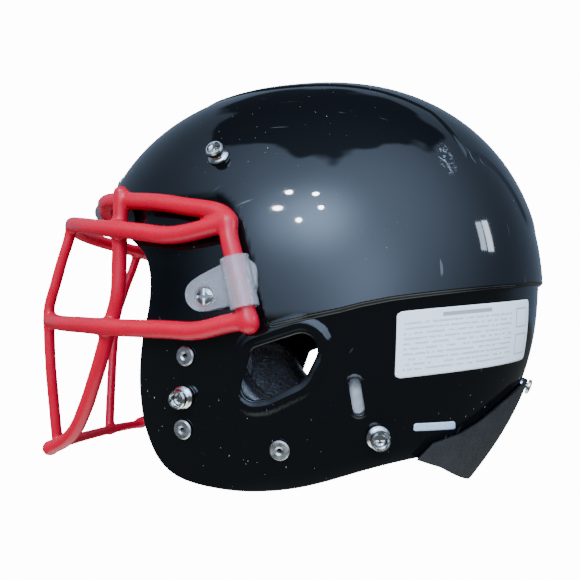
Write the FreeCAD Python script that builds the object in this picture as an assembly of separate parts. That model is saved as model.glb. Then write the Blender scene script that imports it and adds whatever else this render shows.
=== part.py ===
import FreeCAD, Part
import math
import os
from FreeCAD import Vector, Placement, Rotation

# American football helmet: shell, padded liner, facemask and hardware.
# Frame: +Z up, the wearer looks along -Y, the wearer's left is +X, the floor is Z = 0.
doc = FreeCAD.newDocument("football_helmet")

# ---------------------------------------------------------------- driving dimensions (mm)
SIZES = [
    ("shell_half_length", 147.5), ("shell_half_width", 112.0), ("dome_height", 139.3),
    ("shell_centre_y", 18.1), ("shell_centre_z", 113.0), ("shell_wall", 3.5),
    ("dome_step", 2.5), ("crown_panel_rise", 0.8),
    ("ear_bead_rise", 1.0), ("ear_bead_width", 5.0),
    ("slot_length", 18.0), ("slot_width", 6.0),
    ("wire_radius", 4.8), ("upright_radius", 4.2), ("inner_upright_radius", 3.4),
    ("cross_wire_radius", 3.3), ("wire_grip_clearance", 0.4),
    ("snap_radius", 6.0), ("snap_cup_radius", 5.0), ("snap_height", 7.4),
    ("screw_radius", 2.0), ("screw_head_radius", 3.4), ("shank_clearance", 0.15),
    ("barrel_radius", 3.0), ("tnut_radius", 6.5), ("tnut_flange", 1.5),
    ("rivet_radius", 5.2), ("rivet_head", 1.1), ("rivet_bore_radius", 1.3),
    ("strap_screw_radius", 5.2), ("strap_thickness", 5.5), ("strap_sleeve", 2.6),
    ("part_gap", 0.2), ("pad_gap", 3.4), ("liner_thickness", 15.0),
    ("jaw_pad_thickness", 19.0), ("bumper_lip", 3.0), ("bumper_inner", 5.5),
    ("front_bumper_lip", 3.0), ("clip_width", 16.0), ("clip_half_spacing", 27.0),
    ("clip_plate", 3.2),
]
sheet = doc.addObject("Spreadsheet::Sheet", "sizes")
for row, (alias, value) in enumerate(SIZES, start=1):
    sheet.set("A%d" % row, alias)
    sheet.set("B%d" % row, str(value))
    sheet.setAlias("B%d" % row, alias)
doc.recompute()


def size(alias):
    return float(getattr(sheet, alias))


# Shape of the shell. The plan is a superellipse and the side view a second one.
PLAN_EXPONENT = 2.3
DOME_EXPONENT = 2.18
SKIRT_DEPTH = 110.0          # depth below the widest section where the tapers are measured
SIDE_TAPER = 0.12            # the sides draw in by this share at that depth
NAPE_TAPER = 0.286           # and the back of the neck by this share
CENTRE_Y = size("shell_centre_y")
CENTRE_Z = size("shell_centre_z")
LENGTH_SCALE = size("shell_half_length") / 147.5
WIDTH_SCALE = size("shell_half_width") / 112.0
HEIGHT_SCALE = size("dome_height") / 139.3
WALL = size("shell_wall")
STEP = size("dome_step")
GAP = size("part_gap")
FAR = 400.0                  # reach of the cutting prisms, well past the helmet


def span(y):
    """A length along Y, which follows the shell length."""
    return CENTRE_Y + (y - 11.5) * LENGTH_SCALE


def rise(z):
    """A height, which follows the dome height above and below the widest section."""
    return CENTRE_Z + (z - 113.0) * HEIGHT_SCALE


def section_size(z, grow):
    """Half-width, front and rear half-length of the shell at local height z."""
    a = size("shell_half_length") + grow
    b = size("shell_half_width") + grow
    c = size("dome_height") + grow
    if z > 0:
        share = max(1e-9, 1.0 - (z / c) ** DOME_EXPONENT) ** (1.0 / DOME_EXPONENT)
        return b * share, a * share, a * share
    fall = (z / (SKIRT_DEPTH * HEIGHT_SCALE)) ** 2
    return b * (1.0 - SIDE_TAPER * fall), a, a * (1.0 - NAPE_TAPER * fall)


def form_section(z, grow, count=36):
    """One closed horizontal section of the shell form."""
    half_width, front, rear = section_size(z, grow)
    points = []
    for i in range(count):
        t = 2.0 * math.pi * i / count + math.pi / 2.0
        ct = math.cos(t)
        st = math.sin(t)
        length = rear if st > 0 else front
        radius = (abs(ct / half_width) ** PLAN_EXPONENT + abs(st / length) ** PLAN_EXPONENT)
        radius = radius ** (-1.0 / PLAN_EXPONENT)
        points.append(Vector(radius * ct, CENTRE_Y + radius * st, CENTRE_Z + z))
    curve = Part.BSplineCurve()
    curve.interpolate(points, PeriodicFlag=True)
    return Part.Wire([curve.toShape()])


FORMS = {}


def form(grow):
    """The solid bounded by the shell's outer surface moved outward by grow."""
    if grow in FORMS:
        return FORMS[grow]
    height = size("dome_height") + grow
    levels = [z * HEIGHT_SCALE for z in (-118.0, -95.0, -70.0, -45.0, -22.0, 0.0)]
    levels += [height * math.sin(math.radians(d)) for d in (10, 20, 30, 40, 50, 60, 68, 75, 81, 86)]
    rings = [form_section(z, grow) for z in levels]
    rings.append(Part.Vertex(Vector(0, CENTRE_Y, CENTRE_Z + height)))
    FORMS[grow] = Part.makeLoft(rings, True, False)
    return FORMS[grow]


def side_x(y, z, grow=0.0):
    """X of the shell's left side at y and z."""
    half_width, front, rear = section_size(z - CENTRE_Z, grow)
    length = rear if y > CENTRE_Y else front
    share = 1.0 - abs((y - CENTRE_Y) / length) ** PLAN_EXPONENT
    return half_width * max(share, 1e-9) ** (1.0 / PLAN_EXPONENT)


def end_y(x, z, grow=0.0, front=True):
    """Y of the shell's front or rear face at x and z."""
    half_width, ahead, behind = section_size(z - CENTRE_Z, grow)
    share = max(1.0 - abs(x / half_width) ** PLAN_EXPONENT, 1e-9) ** (1.0 / PLAN_EXPONENT)
    return CENTRE_Y - ahead * share if front else CENTRE_Y + behind * share


def side_frame(y, z, grow=0.0, side=1):
    """Placement on the shell's side: local Z leaves the surface, local X points up."""
    point = Vector(side_x(y, z, grow), y, z)
    d = 0.5
    slope_y = (side_x(y + d, z, grow) - side_x(y - d, z, grow)) / (2 * d)
    slope_z = (side_x(y, z + d, grow) - side_x(y, z - d, grow)) / (2 * d)
    return facing(point, Vector(1.0, -slope_y, -slope_z), side)


def end_frame(x, z, grow=0.0, front=True):
    """Placement on the shell's front or rear face, facing outward."""
    point = Vector(x, end_y(x, z, grow, front), z)
    d = 0.5
    slope_x = (end_y(x + d, z, grow, front) - end_y(x - d, z, grow, front)) / (2 * d)
    slope_z = (end_y(x, z + d, grow, front) - end_y(x, z - d, grow, front)) / (2 * d)
    out = Vector(slope_x, -1.0, slope_z) if front else Vector(-slope_x, 1.0, -slope_z)
    return facing(point, out, 1)


def facing(point, out, side):
    """Right-handed placement: local Z along out, local X up the surface."""
    normal = Vector(out.x * side, out.y, out.z).normalize()
    across = normal.cross(Vector(0, 0, 1)).normalize()
    up = across.cross(normal)
    turn = FreeCAD.Matrix(up.x, across.x, normal.x, 0, up.y, across.y, normal.y, 0,
                          up.z, across.z, normal.z, 0, 0, 0, 0, 1)
    placed = Placement(turn)
    placed.Base = Vector(point.x * side, point.y, point.z)
    return placed


# ---------------------------------------------------------------- helpers for solids
def add(label, shape, placement=None):
    piece = doc.addObject("Part::Feature", label)
    piece.Label = label
    piece.Shape = shape
    if placement is not None:
        piece.Placement = placement
    return piece


def prism_x(points, loop="straight", low=-FAR, high=FAR):
    """A prism along X over an outline of (y, z) points in the side view."""
    return outline(points, loop, lambda u, v: Vector(low, u, v)).extrude(Vector(high - low, 0, 0))


def outline(points, loop, place):
    """A face from outline points. Loop smooth follows them as the poles of a closed curve."""
    corners = [place(u, v) for u, v in points]
    if loop == "smooth":
        curve = Part.BSplineCurve()
        curve.buildFromPoles(corners, True, 3)
        return Part.Face(Part.Wire([curve.toShape()]))
    return Part.Face(Part.makePolygon(corners + corners[:1]))


def rounded(points, radii, place):
    """A face with straight sides and a round corner of its own radius at every point."""
    edges = []
    ends = []
    count = len(points)
    for i in range(count):
        here = Vector(points[i][0], points[i][1], 0)
        before = (Vector(points[i - 1][0], points[i - 1][1], 0) - here).normalize()
        after_point = points[(i + 1) % count]
        after = (Vector(after_point[0], after_point[1], 0) - here).normalize()
        half = before.getAngle(after) / 2.0
        reach = radii[i] / math.tan(half)
        middle = (before + after).normalize()
        centre = here + middle * (radii[i] / math.sin(half))
        ends.append((here + before * reach, centre - middle * radii[i], here + after * reach))
    for i in range(count):
        start, mid, stop = [place(p.x, p.y) for p in ends[i]]
        follow = place(ends[(i + 1) % count][0].x, ends[(i + 1) % count][0].y)
        edges.append(Part.Arc(start, mid, stop).toShape())
        edges.append(Part.LineSegment(stop, follow).toShape())
    return Part.Face(Part.Wire(edges))


def wire_curve(poles):
    curve = Part.BSplineCurve()
    curve.buildFromPoles(poles, False, 3)
    return curve


def stations(curve, longest=14.0, sharpest=14.0):
    """Parameters along a curve, closer together where it bends (mm and degrees between them)."""
    count = int(curve.length() / 0.5)
    steps = [curve.parameter(p) for p in curve.discretize(count + 1)]
    kept = [steps[0]]
    turned = 0.0
    gone = 0.0
    for before, here in zip(steps, steps[1:-6]):
        turned += math.degrees(curve.tangent(before)[0].getAngle(curve.tangent(here)[0]))
        gone += 0.5
        if gone >= longest or turned >= sharpest:
            kept.append(here)
            turned = 0.0
            gone = 0.0
    return kept + [steps[-1]]


def pipe(poles, radius):
    """A round rod of short straight lofts between circles square to a smooth curve through poles."""
    curve = wire_curve(poles)
    side = curve.tangent(curve.FirstParameter)[0].cross(Vector(0, 1, 0.1))
    rings = []
    for t in stations(curve):
        at = curve.value(t)
        along = curve.tangent(t)[0]
        side = (side - along * side.dot(along)).normalize()
        other = along.cross(side)
        turn = FreeCAD.Matrix(side.x, other.x, along.x, at.x, side.y, other.y, along.y, at.y,
                              side.z, other.z, along.z, at.z, 0, 0, 0, 1)
        ring = Part.makeCircle(radius)
        ring.Placement = Placement(turn)
        rings.append(Part.Wire([ring]))
    return Part.makeLoft(rings, True, True)


def bar(start, end, radius):
    """A straight round bar between two points."""
    return Part.makeCylinder(radius, (end - start).Length, start, end - start)


def rod(radius, low, high):
    return Part.makeCylinder(radius, high - low, Vector(0, 0, low))


def placed(shape, place):
    copy = shape.copy()
    copy.Placement = place
    return copy


def group(label, shape, places):
    """Identical pieces that share one node, one separate solid at each place."""
    return add(label, Part.makeCompound([placed(shape, p) for p in places]))


def largest(shape):
    """The main solid of a trimmed piece, without the stubs beyond the trim."""
    return max(shape.Solids, key=lambda s: s.Volume)


def mirror(shape):
    return shape.mirror(Vector(0, 0, 0), Vector(1, 0, 0))


def body_of_revolution(label, profile):
    """A PartDesign body turned from a closed sketch of (radius, height) points."""
    body = doc.addObject("PartDesign::Body", label)
    sketch = body.newObject("Sketcher::SketchObject", label + "_profile")
    sketch.AttachmentSupport = [(body.Origin.OriginFeatures[4], "")]
    sketch.MapMode = "FlatFace"
    corners = [Vector(r, h, 0) for r, h in profile]
    for i, corner in enumerate(corners):
        sketch.addGeometry(Part.LineSegment(corner, corners[(i + 1) % len(corners)]))
    turned = body.newObject("PartDesign::Revolution", label + "_turned")
    turned.Profile = sketch
    turned.ReferenceAxis = (sketch, ["V_Axis"])
    turned.Angle = 360.0
    sketch.Visibility = False
    body.Tip = turned
    doc.recompute()
    return body


# ---------------------------------------------------------------- places of the hardware
SIDES = (1, -1)
SNAP_SPOTS = [(-24.7, 178.9, True), (-41.8, 48.5, False), (58.9, 30.0, False)]
RIVET_SPOTS = [(-40.1, 70.0), (-42.6, 31.5), (9.9, 22.8)]
STRAP_SCREW_SPOT = (-26.6, 100.4)
SLOT_SPOT = (49.1, 49.9)
SLOT_LEAN = 8.0
REAR_SCREW_X = 26.0
REAR_SCREW_Z = 53.0
CLIP_SCREW_Z = 190.0


def side_places(spots):
    places = []
    for side in SIDES:
        for spot in spots:
            proud = STEP if len(spot) > 2 and spot[2] else 0.0
            places.append(side_frame(span(spot[0]), rise(spot[1]), proud, side))
    return places


snap_places = side_places(SNAP_SPOTS)
rivet_places = side_places(RIVET_SPOTS)
strap_screw_places = side_places([STRAP_SCREW_SPOT])
rear_screw_places = [end_frame(x, rise(REAR_SCREW_Z), 0.0, False) for x in (REAR_SCREW_X, -REAR_SCREW_X)]
clip_x = size("clip_half_spacing")
clip_screw_places = [end_frame(x, rise(CLIP_SCREW_Z), STEP) for x in (clip_x, -clip_x)]

# ---------------------------------------------------------------- shell
# Side view outlines as (y, z).
SHELL_OUTLINE = [
    (-150.0, 172.5), (-138.0, 171.5), (-126.0, 171.0), (-114.0, 170.0), (-104.0, 167.0),
    (-97.5, 160.0), (-92.0, 150.5), (-86.0, 142.0), (-79.5, 136.0), (-73.0, 131.0),
    (-68.0, 126.0), (-65.0, 118.5), (-63.5, 110.0),
    (-64.5, 95.0), (-68.8, 82.0), (-71.0, 67.0), (-71.5, 52.0), (-69.5, 34.0),
    (-65.0, 22.0), (-58.5, 11.0), (-48.0, 4.6), (-36.0, 1.7), (-22.0, 0.2), (-10.0, -0.4),
    (6.0, 0.8), (20.0, 3.2), (34.0, 7.0), (48.0, 11.4), (64.0, 15.6), (82.0, 18.6),
    (98.0, 20.0), (112.0, 23.5), (124.0, 30.0), (136.0, 38.0), (150.0, 42.0), (175.0, 43.0),
    (215.0, 60.0), (230.0, 150.0), (215.0, 280.0), (100.0, 330.0), (0.0, 340.0),
    (-100.0, 330.0), (-180.0, 280.0), (-185.0, 205.0), (-165.0, 176.0),
]
PROUD_OUTLINE = [
    (-230.0, 151.5), (-24.0, 151.5), (-17.9, 146.0), (-7.2, 117.6), (1.0, 93.0), (5.0, 84.0),
    (18.5, 87.2), (41.8, 92.0), (52.1, 94.7), (66.6, 97.6), (80.8, 99.6), (98.3, 102.0),
    (130.1, 106.6), (142.7, 109.4), (230.0, 126.0), (230.0, 340.0), (-230.0, 340.0),
]
# Edge of the raised crown panel in the plan, as (distance from the middle, y).
CROWN_PANEL = [
    (30.0, -60.0), (52.0, -34.0), (60.0, 0.0), (63.0, 60.0), (66.5, 98.0), (77.0, 114.5),
    (70.4, 121.5), (65.0, 131.0), (56.0, 150.0), (40.0, 175.0)]
EAR_OUTLINE = [(-3.5, 73.5), (38.0, 86.5), (23.0, 57.5), (4.0, 48.5), (-13.0, 45.5)]
EAR_CORNERS = [5.0, 8.0, 14.0, 10.0, 7.0]


def mirrored_plan(points):
    """Plan outline of both halves, from the points of the left one."""
    left = [(x * WIDTH_SCALE, span(y - 6.6)) for x, y in points]
    return left + [(-x, y) for x, y in reversed(left)]


def shaped(points):
    return [(span(y), rise(z)) for y, z in points]


def raised_region(shift):
    """Side view prism of the prouder upper dome, moved in by shift for the inside."""
    return prism_x([(y + shift, z + shift) for y, z in shaped(PROUD_OUTLINE)])


def ear_prism(margin):
    face = rounded(shaped(EAR_OUTLINE), EAR_CORNERS, lambda u, v: Vector(-FAR, u, v))
    if margin:
        face = face.makeOffset2D(margin)
    return face.extrude(Vector(2 * FAR, 0, 0))


skin = form(0.0)
proud = form(STEP).common(raised_region(0.0))
crown_face = outline(mirrored_plan(CROWN_PANEL), "straight", lambda u, v: Vector(u, v, rise(150.0)))
crown_panel = form(STEP + size("crown_panel_rise")).common(crown_face.extrude(Vector(0, 0, FAR)))
ear_bead = form(size("ear_bead_rise")).common(ear_prism(size("ear_bead_width")))
outside = skin.fuse([proud, crown_panel, ear_bead])
hollow = form(-WALL).fuse(form(STEP - WALL).common(raised_region(2.0 * WALL)))
shell_shape = outside.cut(hollow).common(prism_x(shaped(SHELL_OUTLINE), "smooth"))


def slot_prism(side):
    """One stadium slot through the side wall behind the ear hole."""
    length = size("slot_length")
    width = size("slot_width")
    place = side_frame(span(SLOT_SPOT[0]), rise(SLOT_SPOT[1]), 0.0, side)
    half = length / 2.0 - width / 2.0
    bar = Part.makeBox(2 * half, width, 4 * WALL, Vector(-half, -width / 2.0, -2.5 * WALL))
    ends = [Part.makeCylinder(width / 2.0, 4 * WALL, Vector(x, 0, -2.5 * WALL)) for x in (half, -half)]
    tool = bar.fuse(ends).removeSplitter()
    lean = Placement(Vector(), Rotation(Vector(0, 0, 1), SLOT_LEAN * side))
    return placed(tool, place.multiply(lean))


barrel_hole = rod(size("barrel_radius") + size("shank_clearance"), -3 * WALL, 3 * WALL)
holes = [placed(barrel_hole, p) for p in
         snap_places + rivet_places + strap_screw_places + rear_screw_places + clip_screw_places]
cutters = [ear_prism(0.0)] + [slot_prism(side) for side in SIDES] + holes
shell = add("shell", shell_shape.cut(cutters))

# ---------------------------------------------------------------- facemask wires
R_WIRE = size("wire_radius")
R_UPRIGHT = size("upright_radius")
R_INNER = size("inner_upright_radius")
R_CROSS = size("cross_wire_radius")


def wire_points(points):
    return [Vector(x * WIDTH_SCALE, span(y), rise(z)) for x, y, z in points]


def both_sides(points):
    """Left half from the far end to the centre, then its mirror image."""
    left = wire_points(points)
    right = [Vector(-p.x, p.y, p.z) for p in reversed(left) if abs(p.x) > 1e-6]
    return left + right


TOP_WIRE = [
    (118.0, -2.5, 85.5), (118.5, -5.5, 96.5), (118.5, -8.0, 107.5), (118.5, -11.0, 121.0),
    (118.5, -13.0, 127.5), (118.0, -14.0, 132.5), (117.5, -14.5, 138.0), (116.0, -16.5, 142.0),
    (115.0, -21.5, 144.5), (113.5, -28.5, 146.5), (111.0, -38.5, 148.5), (108.5, -48.5, 151.5),
    (103.5, -64.5, 155.0), (97.5, -77.0, 157.5), (90.5, -87.5, 160.0), (83.5, -97.0, 162.5),
    (75.5, -104.5, 164.5), (66.0, -111.0, 166.0), (56.0, -116.5, 168.0), (33.0, -128.5, 169.5),
    (15.0, -135.0, 171.0), (0.0, -136.5, 171.5),
]
BROW_WIRE = [
    (117.5, -14.5, 138.0), (116.5, -23.0, 136.0), (115.0, -32.0, 134.5), (113.0, -41.5, 133.5),
    (111.0, -51.5, 133.5), (109.0, -61.5, 136.0), (106.0, -72.0, 138.0), (102.5, -81.0, 140.0),
    (96.5, -92.0, 142.5), (88.5, -104.0, 145.5), (78.0, -118.0, 149.5), (66.0, -130.5, 153.5),
    (50.0, -143.5, 158.5), (22.0, -157.5, 159.5), (0.0, -160.0, 160.0),
]
LOWER_WIRE = [
    (118.0, -3.5, 87.5), (117.0, -9.5, 87.0), (116.0, -18.0, 85.5), (115.0, -27.0, 83.0),
    (113.5, -36.0, 82.5), (112.0, -45.0, 83.5), (110.0, -55.0, 84.0), (107.0, -65.5, 84.5),
    (103.5, -76.5, 85.0), (97.5, -89.0, 86.0), (84.5, -111.0, 88.0), (72.5, -129.0, 89.5),
    (64.0, -140.0, 90.5), (52.0, -152.5, 92.5), (41.0, -161.0, 94.0), (24.0, -168.0, 94.0),
    (0.0, -171.0, 94.0),
]
OUTER_UPRIGHT = [
    (97.5, -84.0, 162.5), (97.0, -84.0, 154.5), (96.0, -84.5, 147.0), (94.0, -85.5, 132.5),
    (92.5, -86.0, 119.0), (91.5, -86.5, 105.0), (90.0, -89.0, 96.0), (87.5, -94.5, 82.0),
    (84.5, -100.5, 64.0), (82.5, -104.5, 55.0), (80.0, -108.5, 45.5), (77.5, -113.5, 36.0),
    (74.0, -119.0, 26.0), (69.0, -129.5, 17.5), (63.5, -143.0, 13.5),
]
INNER_UPRIGHT = [
    (50.0, -143.5, 158.5), (49.5, -145.0, 149.0), (49.0, -149.0, 138.0), (48.0, -152.5, 127.5),
    (47.5, -155.5, 116.5), (46.5, -159.0, 106.0), (46.0, -160.5, 99.0), (45.0, -159.5, 84.5),
    (43.0, -159.5, 68.5), (41.0, -158.5, 52.5), (38.5, -157.5, 36.0), (36.5, -156.5, 20.0),
    (35.0, -155.5, 10.5),
]
CROSS_WIRE = [
    (64.0, -141.5, 12.5), (52.0, -148.5, 12.0), (40.0, -153.0, 11.5), (25.0, -155.5, 11.0),
    (0.0, -156.5, 11.0),
]

top_pipe = pipe(both_sides(TOP_WIRE), R_WIRE)
brow_pipe = pipe(both_sides(BROW_WIRE), R_WIRE)
lower_pipe = pipe(both_sides(LOWER_WIRE), R_WIRE)
cross_pipe = pipe(both_sides(CROSS_WIRE), R_CROSS)
outer_pipe = pipe(wire_points(OUTER_UPRIGHT), R_UPRIGHT)
inner_pipe = pipe(wire_points(INNER_UPRIGHT), R_INNER)

TOP_LINE = wire_curve(both_sides(TOP_WIRE)).discretize(1601)[:801]


def wire_at_z(z):
    """Point of the top wire's left side arm at a height."""
    return min(TOP_LINE, key=lambda p: abs(p.z - z))


def wire_at_x(x):
    """Point of the top wire's left front at a distance from the middle."""
    return min(TOP_LINE[400:], key=lambda p: abs(p.x - x))


# Each weld is trimmed face to face: the thinner wire is cut to the one it meets.
add("mask_top_wire", top_pipe)
add("mask_brow_wire", largest(brow_pipe.cut(top_pipe)))
add("mask_lower_wire", largest(lower_pipe.cut(top_pipe)))
outer_shape = outer_pipe.cut([top_pipe, brow_pipe, lower_pipe])
inner_shape = inner_pipe.cut([brow_pipe, lower_pipe, cross_pipe])
add("mask_outer_upright_left", outer_shape)
add("mask_outer_upright_right", mirror(outer_shape))
add("mask_inner_upright_left", inner_shape)
add("mask_inner_upright_right", mirror(inner_shape))
add("mask_chin_cross_wire", cross_pipe.cut([outer_pipe, mirror(outer_pipe)]))

# ---------------------------------------------------------------- chin strap snaps
BARREL = size("barrel_radius")
SHANK = size("screw_radius")
HEAD = size("screw_head_radius")
SLACK = size("shank_clearance")
SNAP = size("snap_radius")
CUP = size("snap_cup_radius")
TOP = size("snap_height")
FLANGE = size("tnut_flange")
SEAT = GAP                                   # underside of a base above the curved surface
HEAD_SEAT = 3.0                              # underside of the screw head in the cup
HEAD_TOP = 4.7
NUT_FACE = -WALL - GAP                       # outer face of a T-nut flange, inside the shell

stud = body_of_revolution("chin_snap_stud", [
    (SHANK + SLACK, SEAT), (SNAP, SEAT), (SNAP, SEAT + 0.9), (SNAP - 0.6, SEAT + 1.5),
    (CUP - 0.4, SEAT + 1.9), (CUP - 1.1, SEAT + 2.6), (CUP - 1.1, SEAT + 3.4),
    (CUP, SEAT + 4.4), (CUP, TOP - 0.9), (CUP - 0.6, TOP), (HEAD + 0.5, TOP),
    (HEAD + 0.2, TOP - 0.8), (HEAD + 0.2, HEAD_SEAT), (SHANK + SLACK, HEAD_SEAT)])
group("chin_snap_studs", stud.Shape, snap_places)


def cross_recess(span_wide, width, depth, top):
    arm = Part.makeBox(span_wide, width, depth, Vector(-span_wide / 2, -width / 2, top - depth))
    other = Part.makeBox(width, span_wide, depth, Vector(-width / 2, -span_wide / 2, top - depth))
    return arm.fuse(other)


def screw(label, head_radius, head_low, head_top, end, recess_span, recess_width, recess_depth):
    """A round-headed machine screw with a cross recess, its shank reaching down to end."""
    dome = (head_top - head_low) * 0.45
    turned = body_of_revolution(label, [
        (0.0, end), (SHANK - 0.3, end), (SHANK, end + 0.3), (SHANK, head_low),
        (head_radius, head_low), (head_radius, head_top - dome),
        (head_radius * 0.82, head_top - 0.35 * dome), (head_radius * 0.45, head_top),
        (0.0, head_top)])
    return turned.Shape.cut(cross_recess(recess_span, recess_width, recess_depth, head_top))


def t_nut(label, radius, barrel_top):
    """A flanged nut inside the shell whose barrel stands in the shell's hole."""
    low = NUT_FACE - FLANGE
    return body_of_revolution(label, [
        (SHANK + SLACK, low), (radius - 0.4, low), (radius, low + 0.4), (radius, NUT_FACE),
        (BARREL, NUT_FACE), (BARREL, barrel_top), (SHANK + SLACK, barrel_top)]).Shape


SCREW_END = NUT_FACE - FLANGE + 0.3
snap_screw = screw("chin_snap_screw", HEAD, HEAD_SEAT, HEAD_TOP, SCREW_END, 4.6, 1.0, 0.9)
group("chin_snap_screws", snap_screw, snap_places)
snap_nut = t_nut("chin_snap_tnut", size("tnut_radius"), 0.0)
group("chin_snap_tnuts", snap_nut, snap_places)

# ---------------------------------------------------------------- jaw pad rivets
RIVET = size("rivet_radius")
BORE = size("rivet_bore_radius")
RIVET_TOP = SEAT + size("rivet_head")
rivet = body_of_revolution("jaw_pad_rivet", [
    (BORE, -WALL - 1.0), (BARREL, -WALL - 1.0), (BARREL, SEAT), (RIVET, SEAT),
    (RIVET, SEAT + 0.4), (RIVET - 0.7, RIVET_TOP), (BORE + 1.0, RIVET_TOP),
    (BORE, RIVET_TOP - 0.5)])
group("jaw_pad_rivets", rivet.Shape, rivet_places)
post = body_of_revolution("jaw_pad_snap_post", [
    (BARREL + SLACK, NUT_FACE - 0.9), (RIVET, NUT_FACE - 0.9), (RIVET, NUT_FACE),
    (BARREL + SLACK, NUT_FACE)])
group("jaw_pad_rivet_washers", post.Shape, rivet_places)

# ---------------------------------------------------------------- clear side straps
STRAP = size("strap_thickness")
SLEEVE = R_WIRE + size("strap_sleeve")
GRIP = R_WIRE + size("wire_grip_clearance")
STRAP_OUTLINE = [
    (-30.5, 111.0), (-22.0, 114.5), (-13.5, 118.5), (-5.0, 119.0), (0.2, 117.0),
    (0.8, 108.0), (0.6, 99.5), (-4.0, 97.0), (-14.0, 95.5), (-24.5, 92.8), (-31.0, 92.2),
    (-36.0, 95.5), (-38.6, 100.5), (-37.5, 106.5)]
STRAP_HEAD = size("strap_screw_radius")
STRAP_HEAD_SEAT = STRAP - 2.6
strap_prism = prism_x(shaped(STRAP_OUTLINE), "smooth", 0.0, FAR)
strap_plate = form(STRAP).cut(form(GAP)).common(strap_prism)
strap_sleeve = bar(wire_at_z(rise(94.0)), wire_at_z(rise(119.0)), SLEEVE)
strap_bore = bar(wire_at_z(rise(88.0)), wire_at_z(rise(125.0)), GRIP)
screw_place = strap_screw_places[0]
strap_shape = strap_plate.fuse(strap_sleeve.cut(form(GAP)))
for tool in (form(STEP + GAP).common(raised_region(-GAP)),
             strap_bore,
             placed(rod(STRAP_HEAD + 0.3, STRAP_HEAD_SEAT, STRAP + 8.0), screw_place),
             placed(rod(BARREL + SLACK, -2.0, STRAP_HEAD_SEAT + 0.1), screw_place)):
    strap_shape = strap_shape.cut(tool)
strap_shape = largest(strap_shape)
add("side_strap_left", strap_shape)
add("side_strap_right", mirror(strap_shape))
strap_screw = screw("side_strap_screw", STRAP_HEAD, STRAP_HEAD_SEAT, STRAP - 0.2, SCREW_END, 8.6, 1.4, 1.1)
group("side_strap_screws", strap_screw, strap_screw_places)
strap_nut = t_nut("side_strap_tnut", size("tnut_radius"), 0.0)
group("side_strap_tnuts", strap_nut, strap_screw_places)

# ---------------------------------------------------------------- forehead clips
CLIP_HALF = size("clip_width") / 2.0
PLATE = size("clip_plate")
clip_box = Part.makeBox(2 * CLIP_HALF, 120, rise(200.0) - rise(170.5),
                        Vector(clip_x - CLIP_HALF, span(-190.0), rise(170.5)))
clip_plate = form(STEP + PLATE).cut(form(STEP + GAP)).common(clip_box)
clip_loop = bar(wire_at_x(clip_x - CLIP_HALF), wire_at_x(clip_x + CLIP_HALF), R_WIRE + 3.0)
clip_bore = bar(wire_at_x(clip_x - 2 * CLIP_HALF), wire_at_x(clip_x + 2 * CLIP_HALF), GRIP)
clip_shape = clip_plate.fuse(clip_loop.cut(form(STEP + GAP)))
for tool in (clip_bore,
             placed(rod(BARREL + SLACK, -2.0, PLATE + 6.0), clip_screw_places[0])):
    clip_shape = clip_shape.cut(tool)
clip_shape = largest(clip_shape)
add("forehead_clip_left", clip_shape)
add("forehead_clip_right", mirror(clip_shape))
clip_screw = screw("forehead_clip_screw", 4.6, PLATE + 0.5, PLATE + 2.9, SCREW_END, 6.2, 1.2, 1.1)
group("forehead_clip_screws", clip_screw, clip_screw_places)
group("forehead_clip_tnuts", t_nut("forehead_clip_tnut", 6.0, 0.0), clip_screw_places)

# ---------------------------------------------------------------- rubber bumpers
REAR_OUTLINE = [
    (78.0, 18.0), (90.0, 13.0), (100.0, 6.0), (109.0, 0.0), (140.0, 0.0), (190.0, 0.0),
    (190.0, 60.0), (165.0, 58.0), (150.0, 56.0), (137.0, 52.0), (124.0, 44.0),
    (112.0, 36.0), (100.0, 30.0), (86.0, 26.0)]
bumper_prism = prism_x(shaped(REAR_OUTLINE))
bumper_blank = form(size("bumper_lip")).cut(form(-size("bumper_inner"))).common(bumper_prism)
# A pocket with a little clearance takes the shell's lower edge.
edge_room = form(GAP).cut(form(-WALL - GAP)).common(
    prism_x([(y, z - GAP) for y, z in shaped(SHELL_OUTLINE)], "smooth"))
rear_shape = bumper_blank.cut([edge_room, form(-WALL - GAP).common(
    prism_x([(y, z + 4.0) for y, z in shaped(SHELL_OUTLINE)], "smooth"))])
rear_shape = rear_shape.cut([placed(rod(BARREL + SLACK, -12.0, 12.0), p) for p in rear_screw_places])
add("rear_bumper", largest(rear_shape))
LIP = size("bumper_lip")
rear_screw = screw("rear_bumper_screw", 4.6, LIP + 0.3, LIP + 2.5, SCREW_END, 6.2, 1.2, 1.1)
group("rear_bumper_screws", rear_screw, rear_screw_places)
group("rear_bumper_tnuts", t_nut("rear_bumper_tnut", 6.0, 0.0), rear_screw_places)

FRONT_LIP = size("front_bumper_lip")
front_box = Part.makeBox(34.0, 90.0, rise(188.0) - rise(168.0), Vector(-17.0, span(-190.0), rise(168.0)))
front_shape = form(STEP + FRONT_LIP).cut(form(STEP + GAP)).common(front_box)
add("front_bumper", largest(front_shape))


# ---------------------------------------------------------------- liner pads
def plan_prism(points, radii):
    return rounded(points, radii, lambda u, v: Vector(u, v, rise(120.0))).extrude(Vector(0, 0, FAR))


def side_prism(points, radii):
    return rounded(shaped(points), radii, lambda u, v: Vector(0, u, v)).extrude(Vector(FAR, 0, 0))


def end_prism(points, radii, front):
    reach = -FAR if front else FAR
    return rounded(points, radii, lambda u, v: Vector(u, CENTRE_Y, rise(v))).extrude(Vector(0, reach, 0))


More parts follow.
